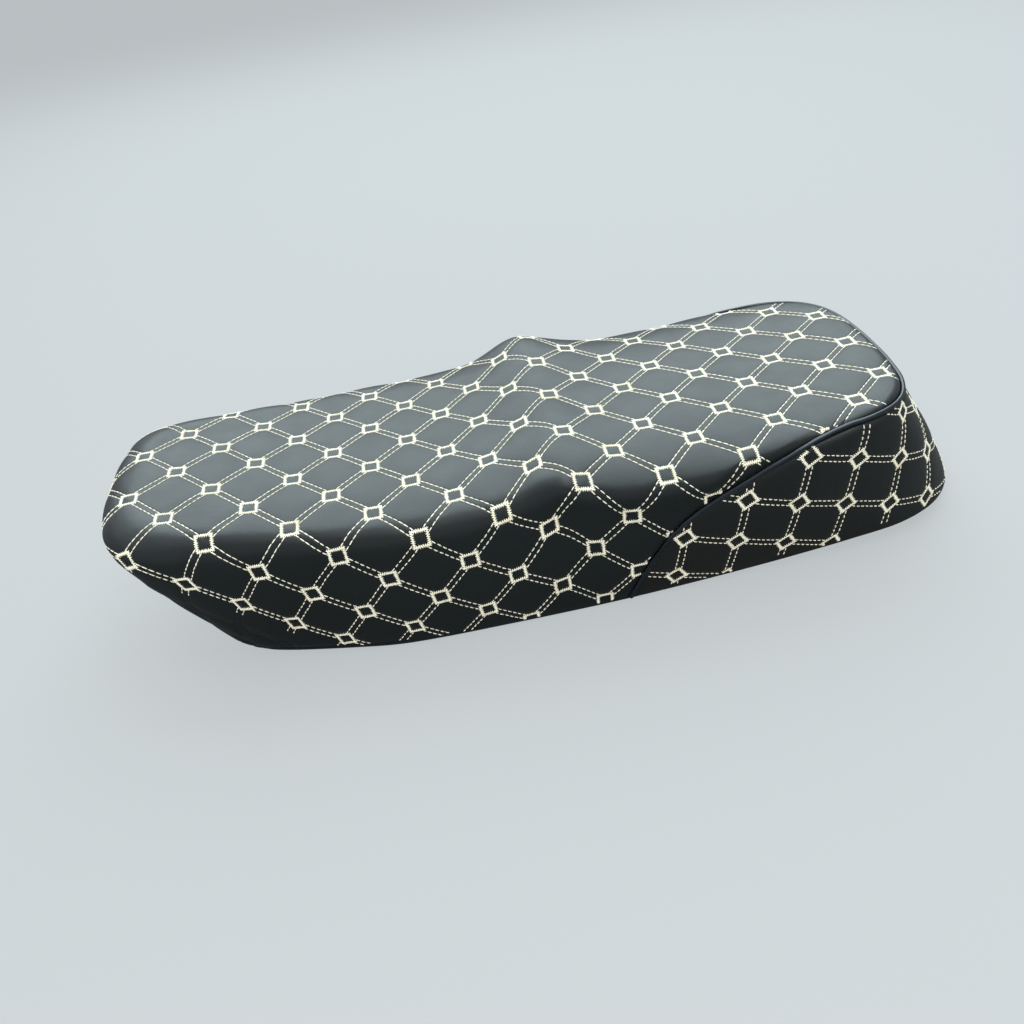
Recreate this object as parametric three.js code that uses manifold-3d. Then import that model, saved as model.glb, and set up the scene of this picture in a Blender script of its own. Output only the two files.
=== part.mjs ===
// Motorcycle bench seat: quilted cover over a foam cushion on a moulded base pan,
// with the piping cord, the steel mounting hardware and the rubber buffers under it.
// Units are millimetres. +X is the front of the seat, +Y the rider's left, +Z up.
// Origin: centre of the seat's plan box, at the height of the lowest edge of the flanks.

import * as THREE from 'three';
import { mergeVertices } from 'three/addons/utils/BufferGeometryUtils.js';
import Module from 'manifold-3d';

const wasm = await Module();
wasm.setup();

// ---------------------------------------------------------------- driving dimensions
const X_CENTRE = 12.1;        // shifts the tables below to the middle of the seat's length
const STATIONS = 72;          // stations round the seat
const COVER_T = 2.4;          // quilted cover: leatherette, wadding and backing cloth
const LAYER_GAP = 0.35;       // clearance above and below the pan's floor
const PAN_GAP = 0.9;          // clearance between the cover and the pan's walls
const PAN_T = 3.0;            // wall of the moulded base pan
const PAN_FLOOR_TOP = 59;     // height of the pan's floor, upper side
const PAN_FLOOR_LOW = PAN_FLOOR_TOP - PAN_T;
const RIM_UP = 4;             // the pan's rim, above the cover's bottom edge
const PLATE_T = 3.0;          // steel hook and brackets
const PLATE_TOP = PAN_FLOOR_LOW - LAYER_GAP;
const BOLT_R = 2.95;          // M6
const HOLE_R = 3.4;           // bolt holes in the pan and the steel
const STEM_HOLE_R = 4.4;      // holes in the pan for the buffers' stems
const THROUGH = 20;           // length of the cutters for through holes

// Depths below the outer surface, measured on the walls.
const PAN_OUTER = COVER_T + PAN_GAP;
const PAN_INNER = PAN_OUTER + PAN_T;
const HEM_OUTER = PAN_INNER + PAN_GAP;
const HEM_INNER = HEM_OUTER + COVER_T;

const SIDES = [['left', 1], ['right', -1]];
// Places of the buffers; each stands on both sides of the seat.
const BUFFERS = [
  { name: 'front', x: 206, y: 62 },
  { name: 'mid_front', x: 86, y: 78 },
  { name: 'mid_rear', x: -62, y: 82 },
  { name: 'rear', x: -232, y: 66 },
];
const HOOK_BOLTS = [
  { name: 'hook_left', x: 196, y: 14 },
  { name: 'hook_right', x: 196, y: -14 },
];
const BRACKET_X = -176;
const BRACKET_BOLTS = [
  { name: 'bracket_left_inner', x: BRACKET_X, y: 70 },
  { name: 'bracket_left_outer', x: BRACKET_X, y: 94 },
  { name: 'bracket_right_inner', x: BRACKET_X, y: -70 },
  { name: 'bracket_right_outer', x: BRACKET_X, y: -94 },
];
const BOLTS = [...HOOK_BOLTS, ...BRACKET_BOLTS];

// ---------------------------------------------------------------- measured tables
// Control sections from the nose tip round the left flank to the tail tip.
//  spine x | shoulder x, y | shoulder drop | fullness | bottom edge x, y, z | wall bow
const SECTIONS = [
  [275, 349.5, 0.0, 19, 3.0, 272.0, 0.0, 7.0, 0.00],
  [272, 347.8, 40.0, 19, 3.0, 271.0, 37.0, 7.0, 0.00],
  [268, 341.5, 73.0, 19, 3.0, 267.5, 64.0, 7.0, 0.03],
  [262, 327.0, 94.0, 21, 3.2, 258.0, 80.5, 6.0, 0.06],
  [252, 302.0, 103.5, 27, 3.8, 244.5, 88.5, 5.0, -0.10],
  [237, 266.0, 107.5, 35, 4.6, 225.0, 94.0, 4.0, -0.40],
  [212, 225.0, 111.5, 40, 5.0, 203.0, 98.5, 3.0, -0.64],
  [180, 184.0, 117.0, 42, 5.2, 174.0, 103.5, 1.5, -0.72],
  [140, 141.0, 122.5, 43, 5.3, 138.0, 109.0, 0.1, -0.76],
  [100, 100.0, 125.5, 45, 5.0, 100.0, 111.5, 0.1, -0.76],
  [50, 50.0, 127.5, 45, 5.2, 50.0, 112.0, 0.1, -0.76],
  [0, 0.0, 128.0, 45, 5.2, 0.0, 112.0, 0.1, -0.76],
  [-50, -50.0, 128.0, 44, 5.2, -50.0, 111.5, 0.5, -0.76],
  [-100, -100.0, 128.0, 42, 5.2, -101.0, 110.5, 2.0, -0.76],
  [-150, -150.0, 127.5, 37, 5.5, -153.0, 109.0, 4.0, -0.72],
  [-198, -197.0, 126.0, 27, 6.0, -205.0, 107.0, 6.5, -0.60],
  [-226, -234.0, 120.5, 18, 6.5, -254.0, 104.5, 9.5, -0.36],
  [-238, -267.0, 111.5, 13, 7.0, -301.0, 99.0, 11.5, -0.08],
  [-246, -291.0, 95.5, 12, 7.0, -337.0, 83.5, 12.5, 0.16],
  [-251, -304.5, 71.0, 12, 7.0, -361.0, 58.5, 12.5, 0.28],
  [-255, -310.0, 38.0, 12, 7.0, -372.0, 30.0, 12.5, 0.28],
  [-258, -311.5, 0.0, 12, 7.0, -375.0, 0.0, 12.5, 0.28],
];
const SHOULDER_Y_COLUMN = 2;
const BOTTOM_Y_COLUMN = 6;
const LAST = SECTIONS.length - 1;

// Height of the top along the centre line, without the cross ridge: x, z.
const TOP_LINE = [
  [-320, 140.0], [-288, 139.3], [-256, 138.6], [-222, 137.6], [-190, 137.5], [-156.5, 137.8],
  [-123.5, 137.8], [-90, 137.5], [-59, 136.8], [-27.6, 136.0], [2.5, 135.0], [33.6, 133.5],
  [64, 131.8], [97, 131.2], [128.5, 131.6], [160, 132.8], [193, 134.8], [225, 138.0],
  [257, 141.5], [290, 145.0], [325, 149.0], [345, 153.0], [365, 156.5],
];
// How far the top falls at CROWN_Y from the centre line: x, fall.
const CROWN = [
  [-320, 0.5], [-260, 0.7], [-200, 1.6], [-120, 2.0], [-60, 1.5], [0, 1.0], [60, 1.0],
  [130, 1.0], [190, 1.0], [255, 1.5], [360, 2.0],
];
const CROWN_Y = 105;
// The cross ridge between rider and passenger.
const RIDGE = {
  x: -18,
  height: 12,
  frontWidth: 34,
  rearWidth: 42,
  sharpness: 1.6,             // exponent of the bell-shaped profile
  sideRise: 0.35,             // share by which it is higher at sideY
  sideY: 125,
};
// The piping seam in side view (x, z): round the tail edge, then down the flank.
const SEAM = [
  [-400, 133.0], [-345, 133.2], [-300, 133.5], [-265, 133.7], [-243, 133.2], [-228, 131.6],
  [-212, 129.0], [-197.6, 125.4], [-174, 117.4], [-151.6, 107.6], [-135, 99.8],
  [-119.3, 91.2], [-106.6, 82.0], [-93.9, 69.0], [-82, 50.5], [-72, 31.0], [-64, 12.0],
  [-58, -6.0],
];

// ---------------------------------------------------------------- outer surface
// Smooth curve through a table of [x, value], held at the end values outside it.
function smoothLookup(table, x) {
  const end = table.length - 1;
  const held = Math.min(Math.max(x, table[0][0]), table[end][0]);
  let i = 0;
  while (i < end - 1 && held >= table[i + 1][0]) i++;
  const width = (k) => table[k + 1][0] - table[k][0];
  const chord = (k) => (table[k + 1][1] - table[k][1]) / width(k);
  const slope = (k) => {
    if (k === 0) return chord(0);
    if (k === end) return chord(end - 1);
    const before = width(k - 1);
    const after = width(k);
    return (chord(k - 1) * after + chord(k) * before) / (before + after);
  };
  const t = (held - table[i][0]) / width(i);
  const t2 = t * t;
  const t3 = t2 * t;
  return (2 * t3 - 3 * t2 + 1) * table[i][1] + (t3 - 2 * t2 + t) * width(i) * slope(i)
    + (-2 * t3 + 3 * t2) * table[i + 1][1] + (t3 - t2) * width(i) * slope(i + 1);
}

function topHeight(x, y) {
  const offset = x - RIDGE.x;
  const width = offset > 0 ? RIDGE.frontWidth : RIDGE.rearWidth;
  const bell = Math.exp(-Math.pow(Math.abs(offset) / width, RIDGE.sharpness));
  const ridge = RIDGE.height * bell * (1 + RIDGE.sideRise * (y / RIDGE.sideY) ** 2);
  return smoothLookup(TOP_LINE, x) + ridge - smoothLookup(CROWN, x) * (y / CROWN_Y) ** 2;
}

// Catmull-Rom blend of the control sections, mirrored past both tips. station is in [0, LAST].
function sectionAt(station) {
  const mirrored = (row) => row.map((value, column) => (
    column === SHOULDER_Y_COLUMN || column === BOTTOM_Y_COLUMN ? -value : value));
  const control = (k) => {
    if (k < 0) return mirrored(SECTIONS[-k]);
    return k > LAST ? mirrored(SECTIONS[2 * LAST - k]) : SECTIONS[k];
  };
  const i = Math.min(Math.floor(station), LAST - 1);
  const t = station - i;
  const [before, from, to, after] = [i - 1, i, i + 1, i + 2].map(control);
  return from.map((_, c) => 0.5 * (2 * from[c] + (to[c] - before[c]) * t
    + (2 * before[c] - 5 * from[c] + 4 * to[c] - after[c]) * t * t
    + (3 * from[c] - before[c] - 3 * to[c] + after[c]) * t * t * t));
}

// Share of the way out from the spine, and of the height left, on the superelliptic top.
const NEAR_SHOULDER = 0.8;    // share of the way out at reach 1
function topShares(reach, fullness) {
  const heightAt = (out) => Math.pow(1 - Math.pow(out, fullness), 1 / fullness);
  if (reach <= 1) {
    const out = NEAR_SHOULDER * reach;
    return [out, heightAt(out)];
  }
  const start = Math.atan2(NEAR_SHOULDER, heightAt(NEAR_SHOULDER));
  const angle = start + (Math.PI / 2 - start) * (reach - 1);
  const sine = Math.sin(angle);
  const cosine = Math.max(0, Math.cos(angle));
  const radius = Math.pow(Math.pow(sine, fullness) + Math.pow(cosine, fullness), -1 / fullness);
  return [radius * sine, reach === 2 ? 0 : radius * cosine];
}

// Point of the outer surface.
// reach in [0, 1]: spine to near the shoulder; [1, 2]: shoulder; [2, 3]: wall.
function surfacePoint(station, reach) {
  const isMirrored = station < 0 || station > LAST;
  let inRange = station;
  if (station < 0) inRange = -station;
  else if (station > LAST) inRange = 2 * LAST - station;
  const [spineX, shoulderX, shoulderY, drop, fullness, bottomX, bottomY, bottomZ, bow] =
    sectionAt(inRange);
  let x, y, z;
  if (reach <= 2) {
    const [out, height] = topShares(reach, fullness);
    x = spineX + (shoulderX - spineX) * out;
    y = shoulderY * out;
    z = topHeight(x, y) - drop * (1 - height);
  } else {
    const t = reach - 2;
    const shoulderZ = topHeight(shoulderX, shoulderY) - drop;
    const bowed = t + bow * t * (1 - t);
    x = shoulderX + (bottomX - shoulderX) * bowed;
    y = shoulderY + (bottomY - shoulderY) * bowed;
    z = shoulderZ + (bottomZ - shoulderZ) * t;
  }
  return new THREE.Vector3(x, isMirrored ? -y : y, z);
}

// Unit normal pointing into the seat.
function inwardNormal(station, reach) {
  if (reach === 0) {
    const { x } = surfacePoint(station, 0);
    const slope = (topHeight(x + 1, 0) - topHeight(x - 1, 0)) / 2;
    return new THREE.Vector3(slope, 0, -1).normalize();
  }
  const step = 0.02;
  // on the wall the difference stays below the shoulder's edge
  const from = reach >= 2 ? Math.max(reach - step, 2) : reach - step;
  const to = Math.min(reach + step, 3);
  const round = surfacePoint(station + step, reach).sub(surfacePoint(station - step, reach));
  const down = surfacePoint(station, to).sub(surfacePoint(station, from));
  return round.cross(down).normalize();
}

// A point below the outer surface. On the wall it keeps its height.
function under(station, reach, depth) {
  const normal = inwardNormal(station, reach);
  const point = surfacePoint(station, reach);
  if (reach < 2) return point.addScaledVector(normal, depth);
  const level = Math.hypot(normal.x, normal.y);
  const sideways = new THREE.Vector3(normal.x, normal.y, 0);
  return point.add(sideways.multiplyScalar(depth / (level * level)));
}

const bottomHeight = (station) => sectionAt(station)[7];
const spinePoint = (station, z) => new THREE.Vector3(sectionAt(station)[0], 0, z);

// Reach of the wall point at height z.
function wallReach(station, z) {
  const [, shoulderX, shoulderY, drop, , , , bottomZ] = sectionAt(station);
  const shoulderZ = topHeight(shoulderX, shoulderY) - drop;
  return 2 + Math.min(1, Math.max(0, (shoulderZ - z) / (shoulderZ - bottomZ)));
}

// Rows of the wall that every layer shares: half way down, the pan's floor, mid pan, the rim.
const MID_PAN_Z = 32;
function wallRows(station) {
  const floor = wallReach(station, PAN_FLOOR_TOP);
  return [
    2 + (floor - 2) / 2,
    floor,
    wallReach(station, MID_PAN_Z),
    wallReach(station, bottomHeight(station) + RIM_UP),
  ];
}

// Point of the wall under the surface at height z, on the facets all the layers share.
function wallAt(station, depth, z) {
  const line = [2, ...wallRows(station), 3].map((reach) => under(station, reach, depth));
  let i = 0;
  while (i < line.length - 2 && line[i + 1].z > z) i++;
  const t = (line[i].z - z) / (line[i].z - line[i + 1].z);
  return line[i].clone().lerp(line[i + 1], t).setZ(z);
}

// A closed solid made of one profile per station: each starts and ends on the spine.
// turns lists the rows from which the facets' diagonal changes over, so that every layer
// has the same diagonal across each facet, whichever way its profile runs.
function ringGeometry(profile, turns = []) {
  const half = STATIONS / 2;
  const profiles = [];
  for (let i = 0; i <= half; i++) profiles.push(profile((i * LAST) / half));
  const rows = profiles[0].length - 1;
  const positions = [];
  for (let k = 0; k <= rows; k++) {
    for (let i = 0; i <= STATIONS; i++) {
      const isRight = i > half;
      const point = profiles[isRight ? STATIONS - i : i][k];
      const onAxis = i % half === 0 || k === 0 || k === rows;
      const y = isRight ? -point.y : point.y;
      positions.push(point.x + X_CENTRE, onAxis ? 0 : y, point.z);
    }
  }
  const index = [];
  let isTurned = false;
  for (let k = 0; k < rows; k++) {
    if (turns.includes(k)) isTurned = !isTurned;
    for (let i = 0; i < STATIONS; i++) {
      const a = k * (STATIONS + 1) + i;
      const b = a + STATIONS + 1;
      const c = b + 1;
      const d = a + 1;
      if (isTurned) index.push(a, b, c, a, c, d);
      else index.push(a, b, d, b, c, d);
    }
  }
  const geometry = new THREE.BufferGeometry();
  geometry.setAttribute('position', new THREE.Float32BufferAttribute(positions, 3));
  geometry.setIndex(index);
  return mergeVertices(geometry, 1e-4);
}

// ---------------------------------------------------------------- solids
function solid(source, matrix) {
  const geometry = source.clone();
  for (const name of Object.keys(geometry.attributes)) {
    if (name !== 'position') geometry.deleteAttribute(name);
  }
  if (matrix) geometry.applyMatrix4(matrix);
  const merged = mergeVertices(geometry, 1e-4);
  return new wasm.Manifold(new wasm.Mesh({
    numProp: 3,
    vertProperties: new Float32Array(merged.attributes.position.array),
    triVerts: new Uint32Array(merged.index.array),
  }));
}

function fromSolid(manifold) {
  const mesh = manifold.getMesh();
  const positions = new Float32Array(mesh.vertProperties);
  const geometry = new THREE.BufferGeometry();
  geometry.setAttribute('position', new THREE.BufferAttribute(positions, 3));
  geometry.setIndex(new THREE.BufferAttribute(new Uint32Array(mesh.triVerts), 1));
  geometry.computeVertexNormals();
  return geometry;
}

const moved = (x, y, z) => new THREE.Matrix4().makeTranslation(x, y, z);
// Turns local +Y up to +Z, then moves.
const stoodUp = (x, y, z) => moved(x, y, z).multiply(new THREE.Matrix4().makeRotationX(Math.PI / 2));
const boxAt = (length, width, height, x, y, z) =>
  solid(new THREE.BoxGeometry(length, width, height), moved(x, y, z));
// Upright cylinder centred on x, y, z.
const rod = (radius, height, x, y, z, sides) =>
  solid(new THREE.CylinderGeometry(radius, radius, height, sides), stoodUp(x, y, z));
const join = (solids) => solids.reduce((a, b) => a.add(b));

function shapeOf(points) {
  const shape = new THREE.Shape(points.map(([x, y]) => new THREE.Vector2(x, y)));
  shape.closePath();
  return shape;
}

function polygon(radius, sides) {
  return shapeOf(Array.from({ length: sides }, (_, k) => {
    const angle = (k * 2 * Math.PI) / sides;
    return [radius * Math.cos(angle), radius * Math.sin(angle)];
  }));
}

const extrude = (shape, depth) =>
  new THREE.ExtrudeGeometry(shape, { depth, bevelEnabled: false, steps: 1 });

// ---------------------------------------------------------------- materials and group
const standard = (settings) => new THREE.MeshStandardMaterial(settings);
const MATERIALS = {
  topCover: standard({ color: 0x20252b, roughness: 0.42, metalness: 0 }),
  rearSkirt: standard({ color: 0x14171a, roughness: 0.45, metalness: 0 }),
  piping: standard({ color: 0x0c1116, roughness: 0.18, metalness: 0 }),
  foam: standard({ color: 0xd8c489, roughness: 0.95, metalness: 0 }),
  pan: standard({ color: 0x17181a, roughness: 0.6, metalness: 0 }),
  rubber: standard({ color: 0x1b1b1c, roughness: 0.85, metalness: 0 }),
  steel: standard({ color: 0x1a1b1d, roughness: 0.35, metalness: 0.7 }),
  zinc: standard({ color: 0xb9bcc0, roughness: 0.35, metalness: 0.9 }),
};

const group = new THREE.Group();
function addMesh(name, geometry, material, x = 0, y = 0) {
  const mesh = new THREE.Mesh(geometry, material);
  mesh.name = name;
  mesh.position.set(x, y, 0);
  group.add(mesh);
  return mesh;
}

// ---------------------------------------------------------------- piping seam
function seamHeight(x) {
  for (let i = 0; i < SEAM.length - 1; i++) {
    const [x0, z0] = SEAM[i];
    const [x1, z1] = SEAM[i + 1];
    if (x <= x1) return z0 + ((x - x0) / (x1 - x0)) * (z1 - z0);
  }
  return -99;                 // ahead of the seam: far below the wall
}

// Reach where the seam crosses a station; null where the seam has left the wall.
function seamReach(station) {
  const isAbove = (reach) => {
    const point = surfacePoint(station, reach);
    return point.z - seamHeight(point.x) > 0;
  };
  let low = 0.5;
  let high = 3;
  if (isAbove(high)) return null;
  for (let i = 0; i < 40; i++) {
    const middle = (low + high) / 2;
    if (isAbove(middle)) low = middle;
    else high = middle;
  }
  return (low + high) / 2;
}

// Seam points with their inward normals and their rise above the bottom edge,
// from the right flank round the tail to the left one.
function traceSeam() {
  const left = [];
  for (let station = LAST; station > 11; station -= 0.25) {
    const reach = seamReach(station);
    if (reach === null) continue;
    const point = surfacePoint(station, reach);
    const rise = point.z - bottomHeight(station);
    point.x += X_CENTRE;
    left.push({ point, normal: inwardNormal(station, reach), rise });
  }
  const flipY = ({ x, y, z }) => new THREE.Vector3(x, -y, z);
  const right = left.slice(1).reverse().map(({ point, normal, rise }) => (
    { point: flipY(point), normal: flipY(normal), rise }));
  return [...right, ...left];
}
const seamLine = traceSeam();

// The slot the cord sits in, square to the surface. It runs out through the hem.
const SLOT = {
  halfWidth: 2.6,
  outside: 5,                 // how far the cutter stands out of the surface
  depth: 6,
  hemDepth: 18,               // depth near the bottom edge, through cover and hem
  hemRise: 30,                // height above the bottom edge where hemDepth starts
  runOut: 14,                 // extra length past both ends of the seam
};
function seamSlot() {
  const line = seamLine.map(({ point, normal, rise }) => (
    { point, normal, depth: rise < SLOT.hemRise ? SLOT.hemDepth : SLOT.depth }));
  const runOut = (end, next) => {
    const outward = end.point.clone().sub(next.point).normalize();
    const point = end.point.clone().addScaledVector(outward, SLOT.runOut);
    return { point, normal: end.normal, depth: SLOT.hemDepth };
  };
  line.unshift(runOut(line[0], line[1]));
  line.push(runOut(line[line.length - 1], line[line.length - 2]));

  // a box bent along the line: local x follows the seam, y crosses it, z goes inward
  const steps = line.length - 1;
  const geometry = new THREE.BoxGeometry(1, 1, 1, steps, 1, 1);
  const position = geometry.attributes.position;
  for (let k = 0; k < position.count; k++) {
    const i = Math.round((position.getX(k) + 0.5) * steps);
    const { point, normal, depth } = line[i];
    const next = line[Math.min(steps, i + 1)].point;
    const previous = line[Math.max(0, i - 1)].point;
    const tangent = next.clone().sub(previous).normalize();
    const across = normal.clone().cross(tangent).normalize();
    const corner = point.clone()
      .addScaledVector(across, Math.sign(position.getY(k)) * SLOT.halfWidth)
      .addScaledVector(normal, position.getZ(k) > 0 ? depth : -SLOT.outside);
    position.setXYZ(k, corner.x, corner.y, corner.z);
  }
  return solid(geometry);
}

// ---------------------------------------------------------------- quilted cover
// Reaches of the rows from the spine to the shoulder's edge.
const TOP_ROWS = [0, 0.5, 0.85, 1.2, 1.5, 1.75, 2];
const HEM_UP = 17;            // the cover turns under the rim and comes this far up inside
const HEM_EDGE_IN = 0.9;      // the rounding of the folded edge
const HEM_EDGE_UP = 0.8;

function coverProfile(station) {
  const bottom = bottomHeight(station);
  const wall = wallRows(station);
  const rim = wall.pop();
  const middle = (COVER_T + HEM_OUTER) / 2;
  const rows = [...TOP_ROWS, ...wall, rim];
  return [
    ...rows.map((reach) => under(station, reach, 0)),
    wallAt(station, HEM_EDGE_IN, bottom + HEM_EDGE_UP),
    wallAt(station, middle, bottom),
    wallAt(station, HEM_INNER - HEM_EDGE_IN, bottom + HEM_EDGE_UP),
    wallAt(station, HEM_INNER, bottom + RIM_UP),
    wallAt(station, HEM_INNER, bottom + HEM_UP),
    wallAt(station, HEM_OUTER, bottom + HEM_UP),
    wallAt(station, HEM_OUTER, bottom + RIM_UP),
    wallAt(station, middle, bottom + COVER_T),
    ...rows.reverse().map((reach) => under(station, reach, COVER_T)),
  ];
}

// One shell follows the whole outside and turns under the rim; the seam slot parts it
// into the top panel (which also makes the front flanks) and the rear skirt.
function addCover() {
  const shell = solid(ringGeometry(coverProfile, [13, 16, 18]));
  const panels = shell.subtract(seamSlot()).decompose().sort((a, b) => b.volume() - a.volume());
  addMesh('top_cover', fromSolid(panels[0]), MATERIALS.topCover);
  addMesh('rear_skirt_cover', fromSolid(panels[1]), MATERIALS.rearSkirt);
}

// ---------------------------------------------------------------- piping cord
const CORD = {
  radius: 2.1,
  sides: 7,
  steps: 66,
  sink: 0.05,                 // depth of its centre line below the surface
  endRise: 2.4,               // it stops this far above the bottom edge
};
function addPipingCord() {
  const points = seamLine.filter(({ rise }) => rise > CORD.endRise)
    .map(({ point, normal }) => point.clone().addScaledVector(normal, CORD.sink));
  const geometry = new THREE.ExtrudeGeometry(polygon(CORD.radius, CORD.sides), {
    steps: CORD.steps,
    bevelEnabled: false,
    extrudePath: new THREE.CatmullRomCurve3(points, false, 'centripetal'),
  });
  addMesh('piping_cord', fromSolid(solid(geometry)), MATERIALS.piping);
}

// ---------------------------------------------------------------- foam cushion
const FOAM_DEPTH = COVER_T + 0.5;       // the foam's outside, below the outer surface
const FOAM_FLOOR = PAN_FLOOR_TOP + LAYER_GAP;
// The pockets' cutters are centred on the foam's underside, so half their height cuts.
const NUT_POCKET = { radius: 10, height: 24 };
const STEM_POCKET = { radius: 9, height: 16 };

function foamProfile(station) {
  const [halfWay] = wallRows(station);
  return [
    ...[...TOP_ROWS, halfWay].map((reach) => under(station, reach, FOAM_DEPTH)),
    wallAt(station, FOAM_DEPTH, FOAM_FLOOR),
    spinePoint(station, FOAM_FLOOR),
  ];
}

function addFoam() {
  const pocket = ({ radius, height }, x, y) => rod(radius, height, x, y, FOAM_FLOOR, 12);
  const pockets = BOLTS.map(({ x, y }) => pocket(NUT_POCKET, x, y));
  for (const { x, y } of BUFFERS) {
    for (const [, sign] of SIDES) pockets.push(pocket(STEM_POCKET, x, sign * y));
  }
  const foam = solid(ringGeometry(foamProfile)).subtract(join(pockets));
  addMesh('foam_cushion', fromSolid(foam), MATERIALS.foam);
}

// ---------------------------------------------------------------- base pan
const PAN_CHAMFER = 4;        // between the pan's floor and its walls
const RIB_T = 2.6;            // ribs under the pan
const RIB_H = 11;
const LONG_RIBS_Y = [34, -34];
const CROSS_RIBS_X = [250, 150, 40, -100, -290];
const PAD_R = 14.5;           // pads that the buffers stand on
const PAD_DROP = 2.9;         // height of the pads below the floor
const PAD_OVERLAP = 0.1;      // how far they reach into the floor
const BREATHERS_X = [118, 0, -140, -200];
const BREATHER_R = 6;
const HOOK_CLEARING = { x: 216, length: 76, width: 64, height: RIB_H + 6, gap: 0.4 };

function panProfile(station) {
  const rimZ = bottomHeight(station) + RIM_UP;
  const [, , midPan] = wallRows(station);
  return [
    spinePoint(station, PAN_FLOOR_TOP),
    wallAt(station, PAN_OUTER + PAN_CHAMFER, PAN_FLOOR_TOP),
    wallAt(station, PAN_OUTER, PAN_FLOOR_TOP - PAN_CHAMFER),
    under(station, midPan, PAN_OUTER),
    wallAt(station, PAN_OUTER, rimZ),
    wallAt(station, PAN_INNER, rimZ),
    under(station, midPan, PAN_INNER),
    wallAt(station, PAN_INNER, PAN_FLOOR_LOW - PAN_CHAMFER),
    wallAt(station, PAN_INNER + PAN_CHAMFER, PAN_FLOOR_LOW),
    spinePoint(station, PAN_FLOOR_LOW),
  ];
}

// The space the ribs may fill; it reaches 1 mm into the floor and the walls.
function ribSpaceProfile(station) {
  const top = PAN_FLOOR_LOW + 1;
  const low = PAN_FLOOR_LOW - RIB_H;
  return [
    spinePoint(station, top),
    wallAt(station, PAN_INNER - 1, top),
    wallAt(station, PAN_INNER - 1, low),
    spinePoint(station, low),
  ];
}

// Ribs are cut from boxes larger than the pan.
function panRibs() {
  const height = RIB_H + 4;
  const z = PAN_FLOOR_LOW - RIB_H / 2 + 1;
  const ribs = [
    ...LONG_RIBS_Y.map((y) => boxAt(720, RIB_T, height, 0, y, z)),
    ...CROSS_RIBS_X.map((x) => boxAt(RIB_T, 250, height, x, 0, z)),
  ];
  return join(ribs).intersect(solid(ringGeometry(ribSpaceProfile)));
}

function addPan() {
  let pan = solid(ringGeometry(panProfile, [5])).add(panRibs());
  // clear the ribs round the hook
  const { x: clearX, length, width, height, gap } = HOOK_CLEARING;
  pan = pan.subtract(boxAt(length, width, height, clearX, 0, PAN_FLOOR_LOW - height / 2 - gap));
  const hole = (radius, x, y) => rod(radius, THROUGH, x, y, PAN_FLOOR_LOW, 12);
  const holes = [];
  const padZ = PAN_FLOOR_LOW - (PAD_DROP - PAD_OVERLAP) / 2;
  for (const { x, y } of BUFFERS) {
    for (const [, sign] of SIDES) {
      pan = pan.add(rod(PAD_R, PAD_DROP + PAD_OVERLAP, x, sign * y, padZ, 16));
      holes.push(hole(STEM_HOLE_R, x, sign * y));
    }
  }
  for (const { x, y } of BOLTS) holes.push(hole(HOLE_R, x, y));
  for (const x of BREATHERS_X) holes.push(hole(BREATHER_R, x, 0));
  addMesh('base_pan', fromSolid(pan.subtract(join(holes))), MATERIALS.pan);
}

// ---------------------------------------------------------------- rubber buffers
const BUFFER_H = 17;          // from the pad's face down
const BUFFER_R = 12;
const PAD_FACE = PAN_FLOOR_LOW - PAD_DROP;
const BUFFER_TOP = PAD_FACE - 0.3;
const BUFFER_LOW = PAD_FACE - BUFFER_H;
const STEM_R = 4.0;
const STEM_HEAD_LOW = PAN_FLOOR_TOP + 0.4;
const STEM_HEAD_TOP = PAN_FLOOR_TOP + 6;
// Radius and height: the foot, the stem through the pan and the tapered head above it.
const BUFFER_PROFILE = [
  [0, BUFFER_LOW], [BUFFER_R - 2.2, BUFFER_LOW], [BUFFER_R, BUFFER_LOW + 2.4],
  [BUFFER_R - 1.2, BUFFER_TOP], [STEM_R, BUFFER_TOP], [STEM_R, STEM_HEAD_LOW],
  [5.6, STEM_HEAD_LOW], [3.0, STEM_HEAD_TOP], [0, STEM_HEAD_TOP],
];

function addBuffers() {
  const profile = BUFFER_PROFILE.map(([radius, z]) => new THREE.Vector2(radius, z));
  const geometry = new THREE.LatheGeometry(profile, 14);
  for (const { name, x, y } of BUFFERS) {
    for (const [side, sign] of SIDES) {
      const mesh = addMesh(`buffer_${name}_${side}`, geometry, MATERIALS.rubber, x, sign * y);
      mesh.rotation.x = Math.PI / 2;
    }
  }
}

// ---------------------------------------------------------------- front hook
const HOOK_WIDTH = 52;
// Side view: x, and height from the plate's top. Upper side forward, lower side back.
const HOOK_OUTLINE = [
  [180, 0], [213, 0], [221, -3.5], [228, -24], [233, -28], [264, -28], [270, -25],
  [271.8, -27.6], [265, -31], [231.4, -31], [225.4, -26.4], [218.6, -6.2],
  [211.5, -PLATE_T], [180, -PLATE_T],
];
// Stiffening gussets at the bend, in the same view.
const GUSSET_OUTLINE = [[206, -2.5], [219.5, -5.5], [226, -26.2], [222, -22]];
const GUSSET_T = 3;
const GUSSET_Y = 20;

function addHook() {
  const sidePlate = (outline, width, y) =>
    solid(extrude(shapeOf(outline.map(([x, z]) => [x, PLATE_TOP + z])), width),
      stoodUp(0, y + width / 2, 0));
  let plate = sidePlate(HOOK_OUTLINE, HOOK_WIDTH, 0);
  for (const { x, y } of HOOK_BOLTS) {
    plate = plate.subtract(rod(HOLE_R, THROUGH, x, y, PLATE_TOP, 12));
  }
  for (const [, sign] of SIDES) {
    plate = plate.add(sidePlate(GUSSET_OUTLINE, GUSSET_T, sign * GUSSET_Y));
  }
  addMesh('front_hook_plate', fromSolid(plate), MATERIALS.steel);
}

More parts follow.
